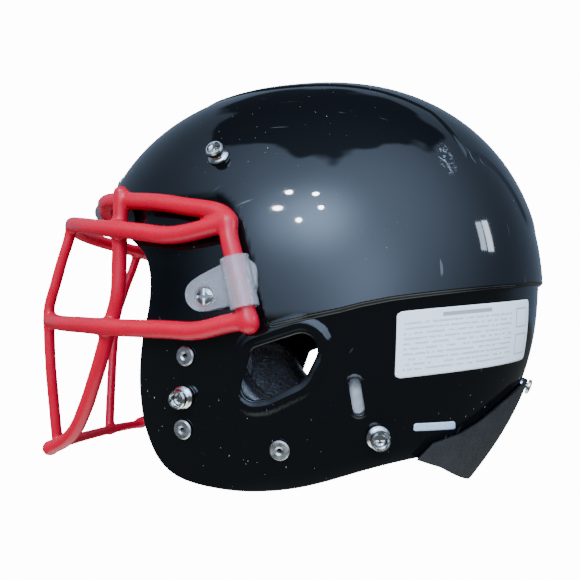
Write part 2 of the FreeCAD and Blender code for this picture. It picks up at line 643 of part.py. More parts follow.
pad_outer = form(-WALL - size("pad_gap"))
liner_slab = pad_outer.cut(form(-WALL - size("pad_gap") - size("liner_thickness")))
jaw_slab = pad_outer.cut(form(-WALL - size("pad_gap") - size("jaw_pad_thickness")))
half = 48.0 * WIDTH_SCALE
crown = plan_prism([(-half, span(-44)), (half, span(-44)), (half, span(66)), (-half, span(66))], [16.0] * 4)
add("crown_pad", liner_slab.common(crown))
wide = 48.0 * WIDTH_SCALE
front_pad = end_prism([(-wide, 178.0), (wide, 178.0), (wide * 0.9, 204.0), (-wide * 0.9, 204.0)],
                      [8.0] * 4, True)
add("front_pad", liner_slab.common(front_pad))
rear_wide = 52.0 * WIDTH_SCALE
back_pad = end_prism([(-rear_wide, 62.0), (rear_wide, 62.0), (rear_wide, 150.0), (-rear_wide, 150.0)],
                     [14.0] * 4, False)
add("back_pad", liner_slab.common(back_pad))
side_pad = side_prism([(40.0, 28.0), (98.0, 34.0), (98.0, 108.0), (44.0, 100.0)], [9.0] * 4)
side_shape = liner_slab.common(side_pad)
add("side_pad_left", side_shape)
add("side_pad_right", mirror(side_shape))
jaw_pad = side_prism([(-58.0, 20.0), (-30.0, 9.0), (14.0, 10.0), (20.0, 46.0), (-2.0, 52.0),
                      (-16.0, 74.0), (-34.0, 84.0), (-60.0, 78.0)],
                     [9.0, 9.0, 9.0, 6.0, 10.0, 8.0, 9.0, 9.0])
jaw_shape = jaw_slab.common(jaw_pad)
add("jaw_pad_left", jaw_shape)
add("jaw_pad_right", mirror(jaw_shape))
temple_pad = side_prism([(-26.0, 122.0), (84.0, 122.0), (84.0, 176.0), (-26.0, 176.0)], [12.0] * 4)
temple_shape = liner_slab.common(temple_pad)
add("temple_pad_left", temple_shape)
add("temple_pad_right", mirror(temple_shape))

doc.recompute()

# ---------------------------------------------------------------- export
NODES = [
    "shell", "front_bumper", "rear_bumper", "rear_bumper_screws", "rear_bumper_tnuts",
    "mask_top_wire", "mask_brow_wire", "mask_lower_wire", "mask_outer_upright_left",
    "mask_outer_upright_right", "mask_inner_upright_left", "mask_inner_upright_right",
    "mask_chin_cross_wire", "side_strap_left", "side_strap_right", "side_strap_screws",
    "side_strap_tnuts", "forehead_clip_left", "forehead_clip_right", "forehead_clip_screws",
    "forehead_clip_tnuts", "chin_snap_studs", "chin_snap_screws", "chin_snap_tnuts",
    "jaw_pad_rivets", "jaw_pad_rivet_washers", "crown_pad", "front_pad", "back_pad",
    "side_pad_left", "side_pad_right", "temple_pad_left", "temple_pad_right",
    "jaw_pad_left", "jaw_pad_right",
]
for item in doc.Objects:
    if "Invalid" in item.State or "Error" in item.State:
        raise RuntimeError("%s did not recompute: %s" % (item.Label, item.State))
os.makedirs("parts", exist_ok=True)
for label in NODES:
    node = doc.getObjectsByLabel(label)[0]
    if node.Shape.isNull() or not node.Shape.isValid() or not node.Shape.Solids:
        raise RuntimeError("%s has no valid solid" % label)
    node.Shape.exportStep("parts/%s.step" % label)
    box = node.Shape.BoundBox
    print("%-28s solids %d volume %9.1f  x %7.1f %7.1f  y %7.1f %7.1f  z %7.1f %7.1f" % (
        label, len(node.Shape.Solids), node.Shape.Volume,
        box.XMin, box.XMax, box.YMin, box.YMax, box.ZMin, box.ZMax))
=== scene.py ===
"""American football helmet: the looks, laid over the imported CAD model."""
import math
import bpy
import numpy as np
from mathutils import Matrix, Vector

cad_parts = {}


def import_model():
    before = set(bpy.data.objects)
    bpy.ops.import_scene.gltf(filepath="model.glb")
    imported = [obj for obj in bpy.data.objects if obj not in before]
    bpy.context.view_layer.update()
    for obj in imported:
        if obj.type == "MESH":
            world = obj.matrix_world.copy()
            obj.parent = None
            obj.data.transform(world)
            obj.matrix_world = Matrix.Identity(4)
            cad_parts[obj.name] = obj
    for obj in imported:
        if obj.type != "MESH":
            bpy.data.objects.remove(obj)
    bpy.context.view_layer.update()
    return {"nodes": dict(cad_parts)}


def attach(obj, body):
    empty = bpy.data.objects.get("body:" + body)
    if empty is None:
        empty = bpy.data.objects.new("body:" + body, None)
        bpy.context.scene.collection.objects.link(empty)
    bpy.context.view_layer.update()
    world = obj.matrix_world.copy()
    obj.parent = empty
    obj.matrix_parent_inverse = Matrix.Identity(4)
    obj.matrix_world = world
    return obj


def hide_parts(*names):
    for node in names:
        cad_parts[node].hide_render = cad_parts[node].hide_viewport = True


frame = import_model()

MM = 0.001

# ------------------------------------------------------------------ shell form, in mm
HALF_LENGTH, HALF_WIDTH, DOME = 147.5, 112.0, 139.3
CENTRE = np.array([0.0, 18.1, 113.0])
PLAN, ARCH = 2.3, 2.18       # roundness exponents of the level sections and of the dome
SKIRT, SIDE_TAPER, NAPE_TAPER = 110.0, 0.12, 0.286
WALL, STEP, PANEL_RISE = 3.5, 2.5, 0.8
SHIFT = 6.6                  # from the outlines' own origin to the part's, along Y
RIM = 0.9                    # radius of the trimmed edge, outside
INNER_RIM = 0.6              # and inside
EDGE_KEY = 10_000_000        # more than any vertex number, to make one number of two


def scaled_axes(p):
    """Local coordinates, side and length half-sizes at each point."""
    q = p - CENTRE
    low = (np.minimum(q[:, 2], 0.0) / SKIRT) ** 2
    half_x = HALF_WIDTH * (1.0 - SIDE_TAPER * low)
    half_y = HALF_LENGTH * (1.0 - np.where(q[:, 1] > 0, NAPE_TAPER, 0.0) * low)
    return q, half_x, half_y


def onto(p):
    """Moves points onto the smooth base surface."""
    q, half_x, half_y = scaled_axes(p)
    plan = np.abs(q[:, 0] / half_x) ** PLAN + np.abs(q[:, 1] / half_y) ** PLAN
    plan = np.maximum(plan, 1e-14)
    up = q[:, 2] > 0
    share = (plan ** (ARCH / PLAN) + np.abs(q[:, 2] / DOME) ** ARCH) ** (-1.0 / ARCH)
    scale = np.where(up, share, plan ** (-1.0 / PLAN))
    out = q * scale[:, None]
    out[:, 2] = np.where(up, out[:, 2], q[:, 2])
    return out + CENTRE


def base_normal(p):
    """Unit normals of the smooth base surface at points on it."""
    q, half_x, half_y = scaled_axes(p)
    u, v, w = np.abs(q[:, 0] / half_x), np.abs(q[:, 1] / half_y), np.abs(q[:, 2] / DOME)
    plan = np.maximum(u ** PLAN + v ** PLAN, 1e-14)
    up = q[:, 2] > 0
    lift = np.where(up, plan ** (ARCH / PLAN - 1.0), 1.0)
    gx = lift * u ** (PLAN - 1.0) * np.sign(q[:, 0]) / half_x
    gy = lift * v ** (PLAN - 1.0) * np.sign(q[:, 1]) / half_y
    low = (q[:, 2] / SKIRT) ** 2
    slope = 2.0 * q[:, 2] / SKIRT ** 2
    draw_x = SIDE_TAPER * slope / (1.0 - SIDE_TAPER * low)
    draw_y = np.where(q[:, 1] > 0, NAPE_TAPER * slope / (1.0 - NAPE_TAPER * low), 0.0)
    gz = np.where(up, w ** (ARCH - 1.0) / DOME, u ** PLAN * draw_x + v ** PLAN * draw_y)
    g = np.stack([gx, gy, gz], 1)
    return g / np.linalg.norm(g, axis=1)[:, None]


def smooth(t):
    """A soft step from 0 to 1 as t goes from 0 to 1."""
    t = np.clip(t, 0.0, 1.0)
    return t * t * t * (t * (6.0 * t - 15.0) + 10.0)


def closed_curve(poles, per_pole=6):
    """Points along the closed uniform cubic B-spline of the poles."""
    p = np.array(poles, float)
    t = np.arange(per_pole)[:, None] / per_pole
    basis = np.hstack([(1 - t) ** 3, 3 * t ** 3 - 6 * t ** 2 + 4,
                       -3 * t ** 3 + 3 * t ** 2 + 3 * t + 1, t ** 3]) / 6
    return np.vstack([basis @ np.roll(p, 1 - i, 0)[:4] for i in range(len(p))])


def open_curve(poles, spacing):
    """Points along the clamped uniform cubic B-spline of the poles."""
    p = np.array(poles, float)
    count = len(p)
    knots = np.concatenate([np.zeros(4), np.arange(1, count - 3), np.full(4, count - 3)]).astype(float)
    t = np.linspace(0, count - 3, 40 * count)
    basis = [((t >= knots[i]) & (t < knots[i + 1])).astype(float) for i in range(count + 3)]
    basis[count - 1][-1] = 1.0
    for k in range(1, 4):
        for i in range(count + 3 - k):
            left = knots[i + k] - knots[i]
            right = knots[i + k + 1] - knots[i + 1]
            a = (t - knots[i]) / left * basis[i] if left > 0 else 0.0
            b = (knots[i + k + 1] - t) / right * basis[i + 1] if right > 0 else 0.0
            basis[i] = a + b
    line = sum(basis[i][:, None] * p[i] for i in range(count))
    along = np.concatenate([[0], np.cumsum(np.linalg.norm(np.diff(line, axis=0), axis=1))])
    even = np.linspace(0, along[-1], max(8, int(along[-1] / spacing)))
    return np.stack([np.interp(even, along, line[:, i]) for i in range(3)], 1)


def rounded_loop(points, radii, steps=8):
    """Closed outline with straight sides and a round corner of its own radius at every point."""
    out = []
    for i, corner in enumerate(points):
        here = np.array(corner, float)
        before = np.array(points[i - 1], float) - here
        after = np.array(points[(i + 1) % len(points)], float) - here
        before /= np.linalg.norm(before)
        after /= np.linalg.norm(after)
        half = math.acos(np.clip(before @ after, -1, 1)) / 2
        middle = (before + after) / np.linalg.norm(before + after)
        centre = here + middle * radii[i] / math.sin(half)
        start = here + before * radii[i] / math.tan(half) - centre
        stop = here + after * radii[i] / math.tan(half) - centre
        a0, a1 = math.atan2(start[1], start[0]), math.atan2(stop[1], stop[0])
        turn = (a1 - a0 + math.pi) % (2 * math.pi) - math.pi
        for k in range(steps + 1):
            a = a0 + turn * k / steps
            out.append(centre + radii[i] * np.array([math.cos(a), math.sin(a)]))
    return np.array(out)


def inside_distance(y, z, loop):
    """Distance to a closed side-view loop, positive inside."""
    best = np.full(len(y), 1e9)
    inside = np.zeros(len(y), bool)
    for (ay, az), (by, bz) in zip(loop, np.roll(loop, -1, 0)):
        dy, dz = by - ay, bz - az
        size = dy * dy + dz * dz
        if size < 1e-12:
            continue
        t = np.clip(((y - ay) * dy + (z - az) * dz) / size, 0, 1)
        best = np.minimum(best, (y - ay - t * dy) ** 2 + (z - az - t * dz) ** 2)
        crosses = ((az > z) != (bz > z)) & (y < (z - az) / (dz if dz else 1e-12) * dy + ay)
        inside ^= crosses
    return np.sqrt(best) * np.where(inside, 1.0, -1.0)


SHELL_OUTLINE = [
    (-150.0, 172.5), (-138.0, 171.5), (-126.0, 171.0), (-114.0, 170.0), (-104.0, 167.0),
    (-97.5, 160.0), (-92.0, 150.5), (-86.0, 142.0), (-79.5, 136.0), (-73.0, 131.0),
    (-68.0, 126.0), (-65.0, 118.5), (-63.5, 110.0),
    (-64.5, 95.0), (-68.8, 82.0), (-71.0, 67.0), (-71.5, 52.0), (-69.5, 34.0),
    (-65.0, 22.0), (-58.5, 11.0), (-48.0, 4.6), (-36.0, 1.7), (-22.0, 0.2), (-10.0, -0.4),
    (6.0, 0.8), (20.0, 3.2), (34.0, 7.0), (48.0, 11.4), (64.0, 15.6), (82.0, 18.6),
    (98.0, 20.0), (112.0, 23.5), (124.0, 30.0), (136.0, 38.0), (150.0, 42.0), (175.0, 43.0),
    (215.0, 60.0), (230.0, 150.0), (215.0, 280.0), (100.0, 330.0), (0.0, 340.0),
    (-100.0, 330.0), (-180.0, 280.0), (-185.0, 205.0), (-165.0, 176.0),
]
PROUD_OUTLINE = [
    (-230.0, 151.5), (-24.0, 151.5), (-17.9, 146.0), (-7.2, 117.6), (1.0, 93.0), (5.0, 84.0),
    (18.5, 87.2), (41.8, 92.0), (52.1, 94.7), (66.6, 97.6), (80.8, 99.6), (98.3, 102.0),
    (130.1, 106.6), (142.7, 109.4), (230.0, 126.0), (230.0, 340.0), (-230.0, 340.0),
]
# Edge of the raised crown panel in the plan, as (distance from the middle, y).
CROWN_PANEL = [
    (-60.0, -60.0), (30.0, -60.0), (52.0, -34.0), (60.0, 0.0), (63.0, 60.0), (66.5, 98.0),
    (77.0, 114.5), (70.4, 121.5), (65.0, 131.0), (56.0, 150.0), (40.0, 175.0), (-60.0, 175.0),
]
EAR_OUTLINE = [(-3.5, 73.5), (38.0, 86.5), (23.0, 57.5), (4.0, 48.5), (-13.0, 45.5)]
shift = np.array([SHIFT, 0.0])
shell_loop = closed_curve(SHELL_OUTLINE) + shift
proud_loop = rounded_loop(PROUD_OUTLINE, [0.5, 4, 8, 20, 6, 5] + [3] * 7 + [0.5] * 4, 3) + shift
ear_loop = rounded_loop(EAR_OUTLINE, [5.0, 8.0, 14.0, 10.0, 7.0]) + shift
lean = math.radians(8.0)
slot_axis = np.array([-math.sin(lean), math.cos(lean)])
slot_mid = np.array([49.1 + SHIFT, 49.9])
SLOT_HALF, SLOT_RADIUS = 6.0, 3.0


def slot_distance(y, z):
    """Distance outside the strap slot, a stadium in the side view."""
    dy, dz = y - slot_mid[0], z - slot_mid[1]
    along = np.clip(dy * slot_axis[0] + dz * slot_axis[1], -SLOT_HALF, SLOT_HALF)
    return np.hypot(dy - along * slot_axis[0], dz - along * slot_axis[1]) - SLOT_RADIUS


def kept(p):
    """Distance inside the trimmed shell, less the rounded rim."""
    y, z = p[:, 1], p[:, 2]
    out = inside_distance(y, z, shell_loop)
    near = (y > -25) & (y < 70) & (z > 25) & (z < 105)
    ear = np.full(len(p), -50.0)
    ear[near] = inside_distance(y[near], z[near], ear_loop)
    return np.minimum(np.minimum(out, -ear), slot_distance(y, z)) - RIM


def relief(p):
    """Height of the outer surface above the base: dome, crown panel, beads round the openings."""
    x, y, z = p[:, 0], p[:, 1], p[:, 2]
    d = inside_distance(y, z, proud_loop)
    # The step is 2.6 mm wide behind y = 14 and widens to 10.6 mm ahead of y = 0.
    width = 2.6 + 8.0 * smooth((14.0 - y) / 14.0)
    h = STEP * smooth(d / width + 0.35)
    # Below the step the wall draws in a little at once, so it mirrors the floor and not the room.
    h = h - 0.7 * (1.0 - np.exp(-np.maximum(-d - 0.5, 0.0) / 7.0))
    panel = inside_distance(np.abs(x), y, CROWN_PANEL)
    h = h + PANEL_RISE * smooth(panel / 2.6 + 0.5) * smooth((z - 140.0) / 12.0)
    near = (y > -35) & (y < 75) & (z > 25) & (z < 112)
    ear = np.full(len(p), -50.0)
    ear[near] = inside_distance(y[near], z[near], ear_loop)
    h = h + 0.8 * smooth(1.0 + (ear + 4.0) / 6.0) * (1.0 - 0.9 * smooth((ear + 4.2) / 4.2))
    slot = slot_distance(y, z)
    return h + 0.35 * smooth(1.0 - (slot - 0.6) / 2.0)


def inner_relief(p):
    """Height of the inner surface's own, softer dome step."""
    d = inside_distance(p[:, 1] - 7.0, p[:, 2] - 7.0, proud_loop)
    return STEP * smooth(d / 10.0 + 0.4)


def surface_gradient(field, p, n, e=0.15):
    """How a field changes along the surface at each point, by differences over 2e."""
    g = np.stack([field(p + np.eye(3)[i] * e) - field(p - np.eye(3)[i] * e) for i in range(3)], 1) / (2 * e)
    return g - (g * n).sum(1)[:, None] * n


def base_grid():
    """Triangles over the whole base form, from the open bottom to a pole at the top."""
    around, skirt_rows, dome_rows = 150, 26, 40
    depth, reach = 118.0, 150.0
    rows = [(-depth + depth * k / skirt_rows, None) for k in range(skirt_rows)]
    rows += [(None, math.radians(90.0 * k / dome_rows)) for k in range(dome_rows)]
    points = []
    for z, tilt in rows:
        for i in range(around):
            a = 2 * math.pi * i / around
            if tilt is None:
                points.append((reach * math.cos(a), reach * math.sin(a), z))
            else:
                r = reach * math.cos(tilt)
                points.append((r * math.cos(a), r * math.sin(a), reach * math.sin(tilt)))
    points.append((0, 0, reach))
    faces = []
    for r in range(len(rows) - 1):
        for i in range(around):
            j = (i + 1) % around
            a, b, c, d = r * around + i, r * around + j, (r + 1) * around + j, (r + 1) * around + i
            faces += [(a, b, c), (a, c, d)]
    last = (len(rows) - 1) * around
    faces += [(last + i, last + (i + 1) % around, len(points) - 1) for i in range(around)]
    return onto(np.array(points) + CENTRE), np.array(faces)


def edge_table(faces):
    """Every edge once, and the three edge numbers of each face."""
    pairs = np.sort(np.stack([faces, np.roll(faces, -1, 1)], 2).reshape(-1, 2), 1)
    unique, inverse = np.unique(pairs[:, 0] * EDGE_KEY + pairs[:, 1], return_inverse=True)
    return np.stack([unique // EDGE_KEY, unique % EDGE_KEY], 1), inverse.reshape(-1, 3)


def wanted_size(p):
    """Edge length wanted at each point: fine along trims, steps and beads."""
    y, z = p[:, 1], p[:, 2]
    trim = np.abs(kept(p))
    step = np.abs(inside_distance(y, z, proud_loop))
    crisp = np.where(y > 14.0, np.maximum(step - 1.4, 0.0) * 0.45, 9.0)
    band = np.where(z > 138, np.abs(inside_distance(np.abs(p[:, 0]), y, CROWN_PANEL)), 99.0)
    ear = np.where((y > -40) & (y < 80) & (z > 20) & (z < 115), trim * 0.4, 99.0)
    close = np.minimum(np.minimum(step * 0.5 + 0.4, band * 0.5 + 0.2), np.minimum(trim * 0.6, ear))
    return np.minimum(np.clip(0.8 + close * 0.5, 0.8, 4.2), 0.42 + crisp)


def refine(points, faces, passes=7):
    """Splits the edges that are too long, the longest of each face first, with no gaps left."""
    for _ in range(passes):
        edges, sides = edge_table(faces)
        mid = onto((points[edges[:, 0]] + points[edges[:, 1]]) / 2)
        length = np.linalg.norm(points[edges[:, 0]] - points[edges[:, 1]], axis=1)
        mark = length > 1.35 * wanted_size(mid)
        if not mark.any():
            break
        longest = sides[np.arange(len(faces)), np.argmax(length[sides], 1)]
        for _ in range(6):
            split = mark[sides].any(1)
            grown = mark.copy()
            grown[longest[split]] = True
            if (grown == mark).all():
                break
            mark = grown
        number = np.full(len(edges), -1)
        number[mark] = len(points) + np.arange(mark.sum())
        points = np.vstack([points, mid[mark]])
        m = number[sides]
        code = (m >= 0) @ np.array([1, 2, 4])
        made = [faces[code == 0]]
        for turn in range(3):
            f, e = np.roll(faces, -turn, 1), np.roll(m, -turn, 1)
            c = (e >= 0) @ np.array([1, 2, 4])
            one = c == 1
            made.append(np.stack([f[one, 0], e[one, 0], f[one, 2]], 1))
            made.append(np.stack([e[one, 0], f[one, 1], f[one, 2]], 1))
            two = c == 3
            made.append(np.stack([e[two, 0], f[two, 1], e[two, 1]], 1))
            made.append(np.stack([f[two, 0], e[two, 0], e[two, 1]], 1))
            made.append(np.stack([f[two, 0], e[two, 1], f[two, 2]], 1))
        three = code == 7
        f, e = faces[three], m[three]
        made += [np.stack([f[:, 0], e[:, 0], e[:, 2]], 1), np.stack([e[:, 0], f[:, 1], e[:, 1]], 1),
                 np.stack([e[:, 2], e[:, 1], f[:, 2]], 1), e]
        faces = np.vstack(made)
    return points, faces


def trim(points, faces):
    """Keeps the part of the surface where kept() is positive, with vertices exactly on the trim."""
    g = kept(points)
    near = np.where(np.abs(g) < 0.32)[0]
    p = points[near]
    for _ in range(3):
        n = base_normal(p)
        t = surface_gradient(kept, p, n)
        size = np.maximum((t * t).sum(1), 0.05)
        p = onto(p - t * (kept(p) / size)[:, None])
    points[near] = p
    g[near] = 0.0
    edges, _ = edge_table(faces)
    cross = edges[g[edges[:, 0]] * g[edges[:, 1]] < 0]
    a, b = points[cross[:, 0]], points[cross[:, 1]]
    ga, gb = g[cross[:, 0]], g[cross[:, 1]]
    t0, t1, v0, v1 = np.zeros(len(a)), np.ones(len(a)), ga.copy(), gb.copy()
    for _ in range(8):
        t = np.clip(t0 + (t1 - t0) * v0 / (v0 - v1), t0 + 0.02 * (t1 - t0), t1 - 0.02 * (t1 - t0))
        v = kept(onto(a + (b - a) * t[:, None]))
        same = v * v0 > 0
        t0, v0 = np.where(same, t, t0), np.where(same, v, v0)
        t1, v1 = np.where(same, t1, t), np.where(same, v1, v)
    t = np.where(np.abs(v0) < np.abs(v1), t0, t1)
    number = {(int(i), int(j)): len(points) + k for k, (i, j) in enumerate(cross)}
    points = np.vstack([points, onto(a + (b - a) * t[:, None])])
    fg = g[faces]
    whole = (fg >= 0).all(1) & (fg > 0).any(1)
    made = [tuple(f) for f in faces[whole]]
    for f in faces[(fg > 0).any(1) & (fg < 0).any(1)]:
        ring = []
        for i in range(3):
            u, v = int(f[i]), int(f[(i + 1) % 3])
            if g[u] >= 0:
                ring.append(u)
            if g[u] * g[v] < 0:
                ring.append(number[(min(u, v), max(u, v))])
        if len(ring) == 3:
            made.append(tuple(ring))
        elif len(ring) == 4:
            made += [(ring[0], ring[1], ring[2]), (ring[0], ring[2], ring[3])]
    faces = np.array(made)
    used, faces = np.unique(faces, return_inverse=True)
    return points[used], faces.reshape(-1, 3)


def border(faces):
    """Directed edges with no face on their other side."""
    directed = np.stack([faces, np.roll(faces, -1, 1)], 2).reshape(-1, 2)
    key = directed[:, 0] * EDGE_KEY + directed[:, 1]
    back = directed[:, 1] * EDGE_KEY + directed[:, 0]
    return directed[~np.isin(key, back)]


def mesh_object(name, points, faces, normals=None, material=None):
    """An object from points in mm, smooth shaded."""
    mesh = bpy.data.meshes.new(name)
    mesh.from_pydata((np.asarray(points) * MM).tolist(), [], [tuple(int(i) for i in f) for f in faces])
    mesh.validate()
    mesh.polygons.foreach_set("use_smooth", [True] * len(mesh.polygons))
    if normals is not None:
        mesh.normals_split_custom_set_from_vertices(np.asarray(normals).tolist())
    mesh.update()
    obj = bpy.data.objects.new(name, mesh)
    bpy.context.scene.collection.objects.link(obj)
    if material:
        mesh.materials.append(material)
    return obj


def make_shell(finish):
    """Outer skin, inner skin and the rounded rims that join them, with exact normals."""
    points, faces = base_grid()
    points, faces = refine(points, faces)
    points, faces = trim(points, faces)
    n = base_normal(points)
    height, depth = relief(points), WALL - inner_relief(points)
    outer_n = n - surface_gradient(relief, points, n)
    outer_n /= np.linalg.norm(outer_n, axis=1)[:, None]
    outer = points + n * height[:, None]
    inner = points - n * depth[:, None]
    inner_n = -(n - surface_gradient(inner_relief, points, n))
    inner_n /= np.linalg.norm(inner_n, axis=1)[:, None]
    count = len(points)
    edges = border(faces)
    rim = np.unique(edges)
    out = -surface_gradient(kept, points[rim], n[rim])
    out /= np.linalg.norm(out, axis=1)[:, None]
    # The trim direction is evened out along the rim, so that the bevel reflects as one clean line.
    slot = {int(v): k for k, v in enumerate(rim)}
    first = np.array([slot[int(a)] for a, _ in edges])
    second = np.array([slot[int(b)] for _, b in edges])
    for _ in range(6):
        total = out.copy()
        np.add.at(total, first, out[second])
        np.add.at(total, second, out[first])
        out = total / np.linalg.norm(total, axis=1)[:, None]
    top_n, wall = outer_n[rim], (height + depth)[rim]
    rings, ring_n = [], []
    for k in range(1, 6):
        a = math.radians(18.0 * k)
        rings.append(outer[rim] + out * RIM * math.sin(a) - top_n * RIM * (1 - math.cos(a)))
        ring_n.append(out * math.sin(a) + top_n * math.cos(a))
    for k in range(5):
        a = math.radians(90.0 - 22.5 * k)
        sink = (wall - INNER_RIM + INNER_RIM * math.cos(a))[:, None]
        rings.append(outer[rim] + out * (RIM - INNER_RIM + INNER_RIM * math.sin(a)) - top_n * sink)
        ring_n.append(out * math.sin(a) - top_n * math.cos(a))
    everything = np.vstack([outer, inner] + rings)
    normals = np.vstack([outer_n, inner_n] + ring_n)
    blocks = [faces, faces[:, ::-1] + count]
    chain = [rim] + [2 * count + k * len(rim) + np.arange(len(rim)) for k in range(len(rings))]
    chain.append(rim + count)
    for upper, lower in zip(chain, chain[1:]):
        blocks.append(np.stack([upper[second], upper[first], lower[first], lower[second]], 1))
    all_faces = [tuple(f) for block in blocks for f in block]
    normals /= np.linalg.norm(normals, axis=1)[:, None]
    return mesh_object("shell_skin", everything, all_faces, normals, finish)


# ------------------------------------------------------------------ materials
RANGE_INPUTS = ("Value", "From Min", "From Max", "To Min", "To Max")


class Graph:
    """A new material, and short names for building its node tree."""

    def __init__(self, name):
        self.material = bpy.data.materials.new(name)
        self.material.use_nodes = True
        self.tree = self.material.node_tree
        self.tree.nodes.clear()
        self.out = self.node("ShaderNodeOutputMaterial")
        self.where = self.node("ShaderNodeTexCoord").outputs["Object"]

    def node(self, kind, **inputs):
        n = self.tree.nodes.new(kind)
        for key, value in inputs.items():
            self.set(n, key.replace("_", " "), value)
        return n

    def set(self, n, key, value):
        if isinstance(value, bpy.types.NodeSocket):
            self.tree.links.new(value, n.inputs[key])
        else:
            n.inputs[key].default_value = value

    def noise(self, scale, detail=2.0, rough=0.5, where=None, distortion=0.0):
        n = self.node("ShaderNodeTexNoise", Scale=scale, Detail=detail, Roughness=rough,
                      Distortion=distortion)
        self.tree.links.new(where or self.where, n.inputs["Vector"])
        return n.outputs["Fac"]

    def ramp(self, value, low, high, to_low=0.0, to_high=1.0):
        n = self.node("ShaderNodeMapRange")
        n.clamp = True
        for key, v in zip(RANGE_INPUTS, (value, low, high, to_low, to_high)):
            self.set(n, key, v)
        return n.outputs["Result"]

    def math(self, kind, a, b=0.0):
        n = self.node("ShaderNodeMath")
        n.operation = kind
        self.set(n, 0, a)
        self.set(n, 1, b)
        return n.outputs[0]

    def mix(self, amount, a, b):
        n = self.node("ShaderNodeMix")
        n.data_type = "RGBA"
        for key, v in ((0, amount), (6, a), (7, b)):
            self.set(n, key, v)
        return n.outputs[2]

    def bump(self, height, strength, distance, normal=None):
        n = self.node("ShaderNodeBump", Strength=strength, Distance=distance)
        self.tree.links.new(height, n.inputs["Height"])
        if normal is not None:
            self.tree.links.new(normal, n.inputs["Normal"])
        return n.outputs["Normal"]

    def surface(self, **inputs):
        b = self.node("ShaderNodeBsdfPrincipled")
        for key, value in inputs.items():
            self.set(b, key.replace("_", " "), value)
        self.tree.links.new(b.outputs[0], self.out.inputs[0])
        return self.material

    def stretched_uv(self, where, scale):
        n = self.node("ShaderNodeMapping")
        n.inputs["Scale"].default_value = scale
        self.tree.links.new(where, n.inputs["Vector"])
        return n.outputs[0]

    def stretched(self, scale, turn=(0, 0, 0)):
        n = self.node("ShaderNodeMapping")
        n.inputs["Scale"].default_value = scale
        n.inputs["Rotation"].default_value = turn
        self.tree.links.new(self.where, n.inputs["Vector"])
        return n.outputs[0]


def scratches(g, count=3):
    """Fine straight scratches in a few directions, 1 on a scratch."""
    total = None
    for k in range(count):
        turn = (0.6 * k + 0.3, 0.9 * k, 0.5 + 1.1 * k)
        lines = g.noise(1.0, 0.0, 0.5, g.stretched((1500.0, 30.0, 50.0), turn))
        patch = g.noise(28.0 + 9 * k, 1.0)
        line = g.math("MULTIPLY", g.ramp(lines, 0.80, 0.83), g.ramp(patch, 0.60, 0.66))
        total = line if total is None else g.math("MAXIMUM", total, line)
    return total


def shell_material():
    g = Graph("polycarbonate_black")
    marks = g.math("MULTIPLY", scratches(g), 0.22)
    dust = g.ramp(g.noise(900.0, 0.0), 0.855, 0.875)
    dust = g.math("MULTIPLY", dust, g.ramp(g.noise(14.0), 0.42, 0.60))
    wear = g.math("MAXIMUM", marks, dust)
    # One scuffed patch high on the left rear of the dome.
    reach = g.node("ShaderNodeVectorMath")
    reach.operation = "DISTANCE"
    g.tree.links.new(g.stretched((1.0, 1.0, 0.36)), reach.inputs[0])
    reach.inputs[1].default_value = (0.0875, 0.1045, 0.0632)
    patch = g.ramp(reach.outputs["Value"], 0.0058, 0.0034)
    scuff = g.math("MULTIPLY", patch, g.ramp(g.noise(260.0, 8.0, 0.75, None, 2.0), 0.53, 0.60))
    wear = g.math("MAXIMUM", wear, g.math("MULTIPLY", scuff, 0.8))
    haze = g.ramp(g.noise(9.0, 3.0), 0.35, 0.75, 0.03, 0.075)
    rough = g.math("ADD", haze, g.math("MULTIPLY", wear, 0.35))
    colour = g.mix(wear, (0.0022, 0.0026, 0.0032, 1), (0.30, 0.31, 0.33, 1))
    peel = g.bump(g.noise(75.0, 1.0), 0.04, 0.0006)
    return g.surface(Base_Color=colour, Roughness=rough, Normal=peel, Specular_IOR_Level=0.5)


def vinyl_red():
    g = Graph("dipped_vinyl_red")
    tone = g.noise(30.0, 3.0)
    colour = g.mix(tone, (0.50, 0.0, 0.018, 1), (0.62, 0.0, 0.028, 1))
    rough = g.ramp(g.noise(60.0, 2.0), 0.3, 0.7, 0.22, 0.34)
    n = g.bump(g.noise(90.0, 2.0), 0.08, 0.0008)
    n = g.bump(g.noise(700.0, 1.0), 0.03, 0.0002, n)
    return g.surface(Base_Color=colour, Roughness=rough, Normal=n, Specular_IOR_Level=0.4)


def metal(name, colour, rough, brushed=0.2):
    g = Graph(name)
    grain = g.noise(260.0, 3.0)
    tone = g.mix(g.noise(120.0, 2.0), colour, tuple(c * 0.72 for c in colour[:3]) + (1,))
    r = g.ramp(grain, 0.3, 0.7, rough * 0.7, rough * 1.5)
    n = g.bump(g.noise(1.0, 1.0, 0.5, g.stretched((400.0, 2600.0, 400.0))), brushed, 0.00015)
    return g.surface(Base_Color=tone, Metallic=1.0, Roughness=r, Normal=n)


def clear_plastic():
    g = Graph("clear_strap_plastic")
    tone = g.mix(g.noise(60.0, 2.0), (0.93, 0.94, 0.97, 1), (0.80, 0.83, 0.90, 1))
    rough = g.ramp(g.noise(220.0, 3.0), 0.3, 0.7, 0.10, 0.28)
    n = g.bump(g.noise(180.0, 2.0), 0.25, 0.0005)
    n = g.bump(scratches(g, 2), 0.3, 0.0003, n)
    return g.surface(Base_Color=tone, Roughness=rough, Normal=n, Transmission_Weight=0.82, IOR=1.45)


def rubber():
    g = Graph("bumper_rubber")
    tone = g.mix(g.noise(80.0, 3.0), (0.010, 0.010, 0.011, 1), (0.028, 0.028, 0.030, 1))
    rough = g.ramp(g.noise(300.0, 2.0), 0.3, 0.7, 0.42, 0.62)
    n = g.bump(g.noise(900.0, 2.0), 0.35, 0.0004)
    return g.surface(Base_Color=tone, Roughness=rough, Normal=n, Specular_IOR_Level=0.4)


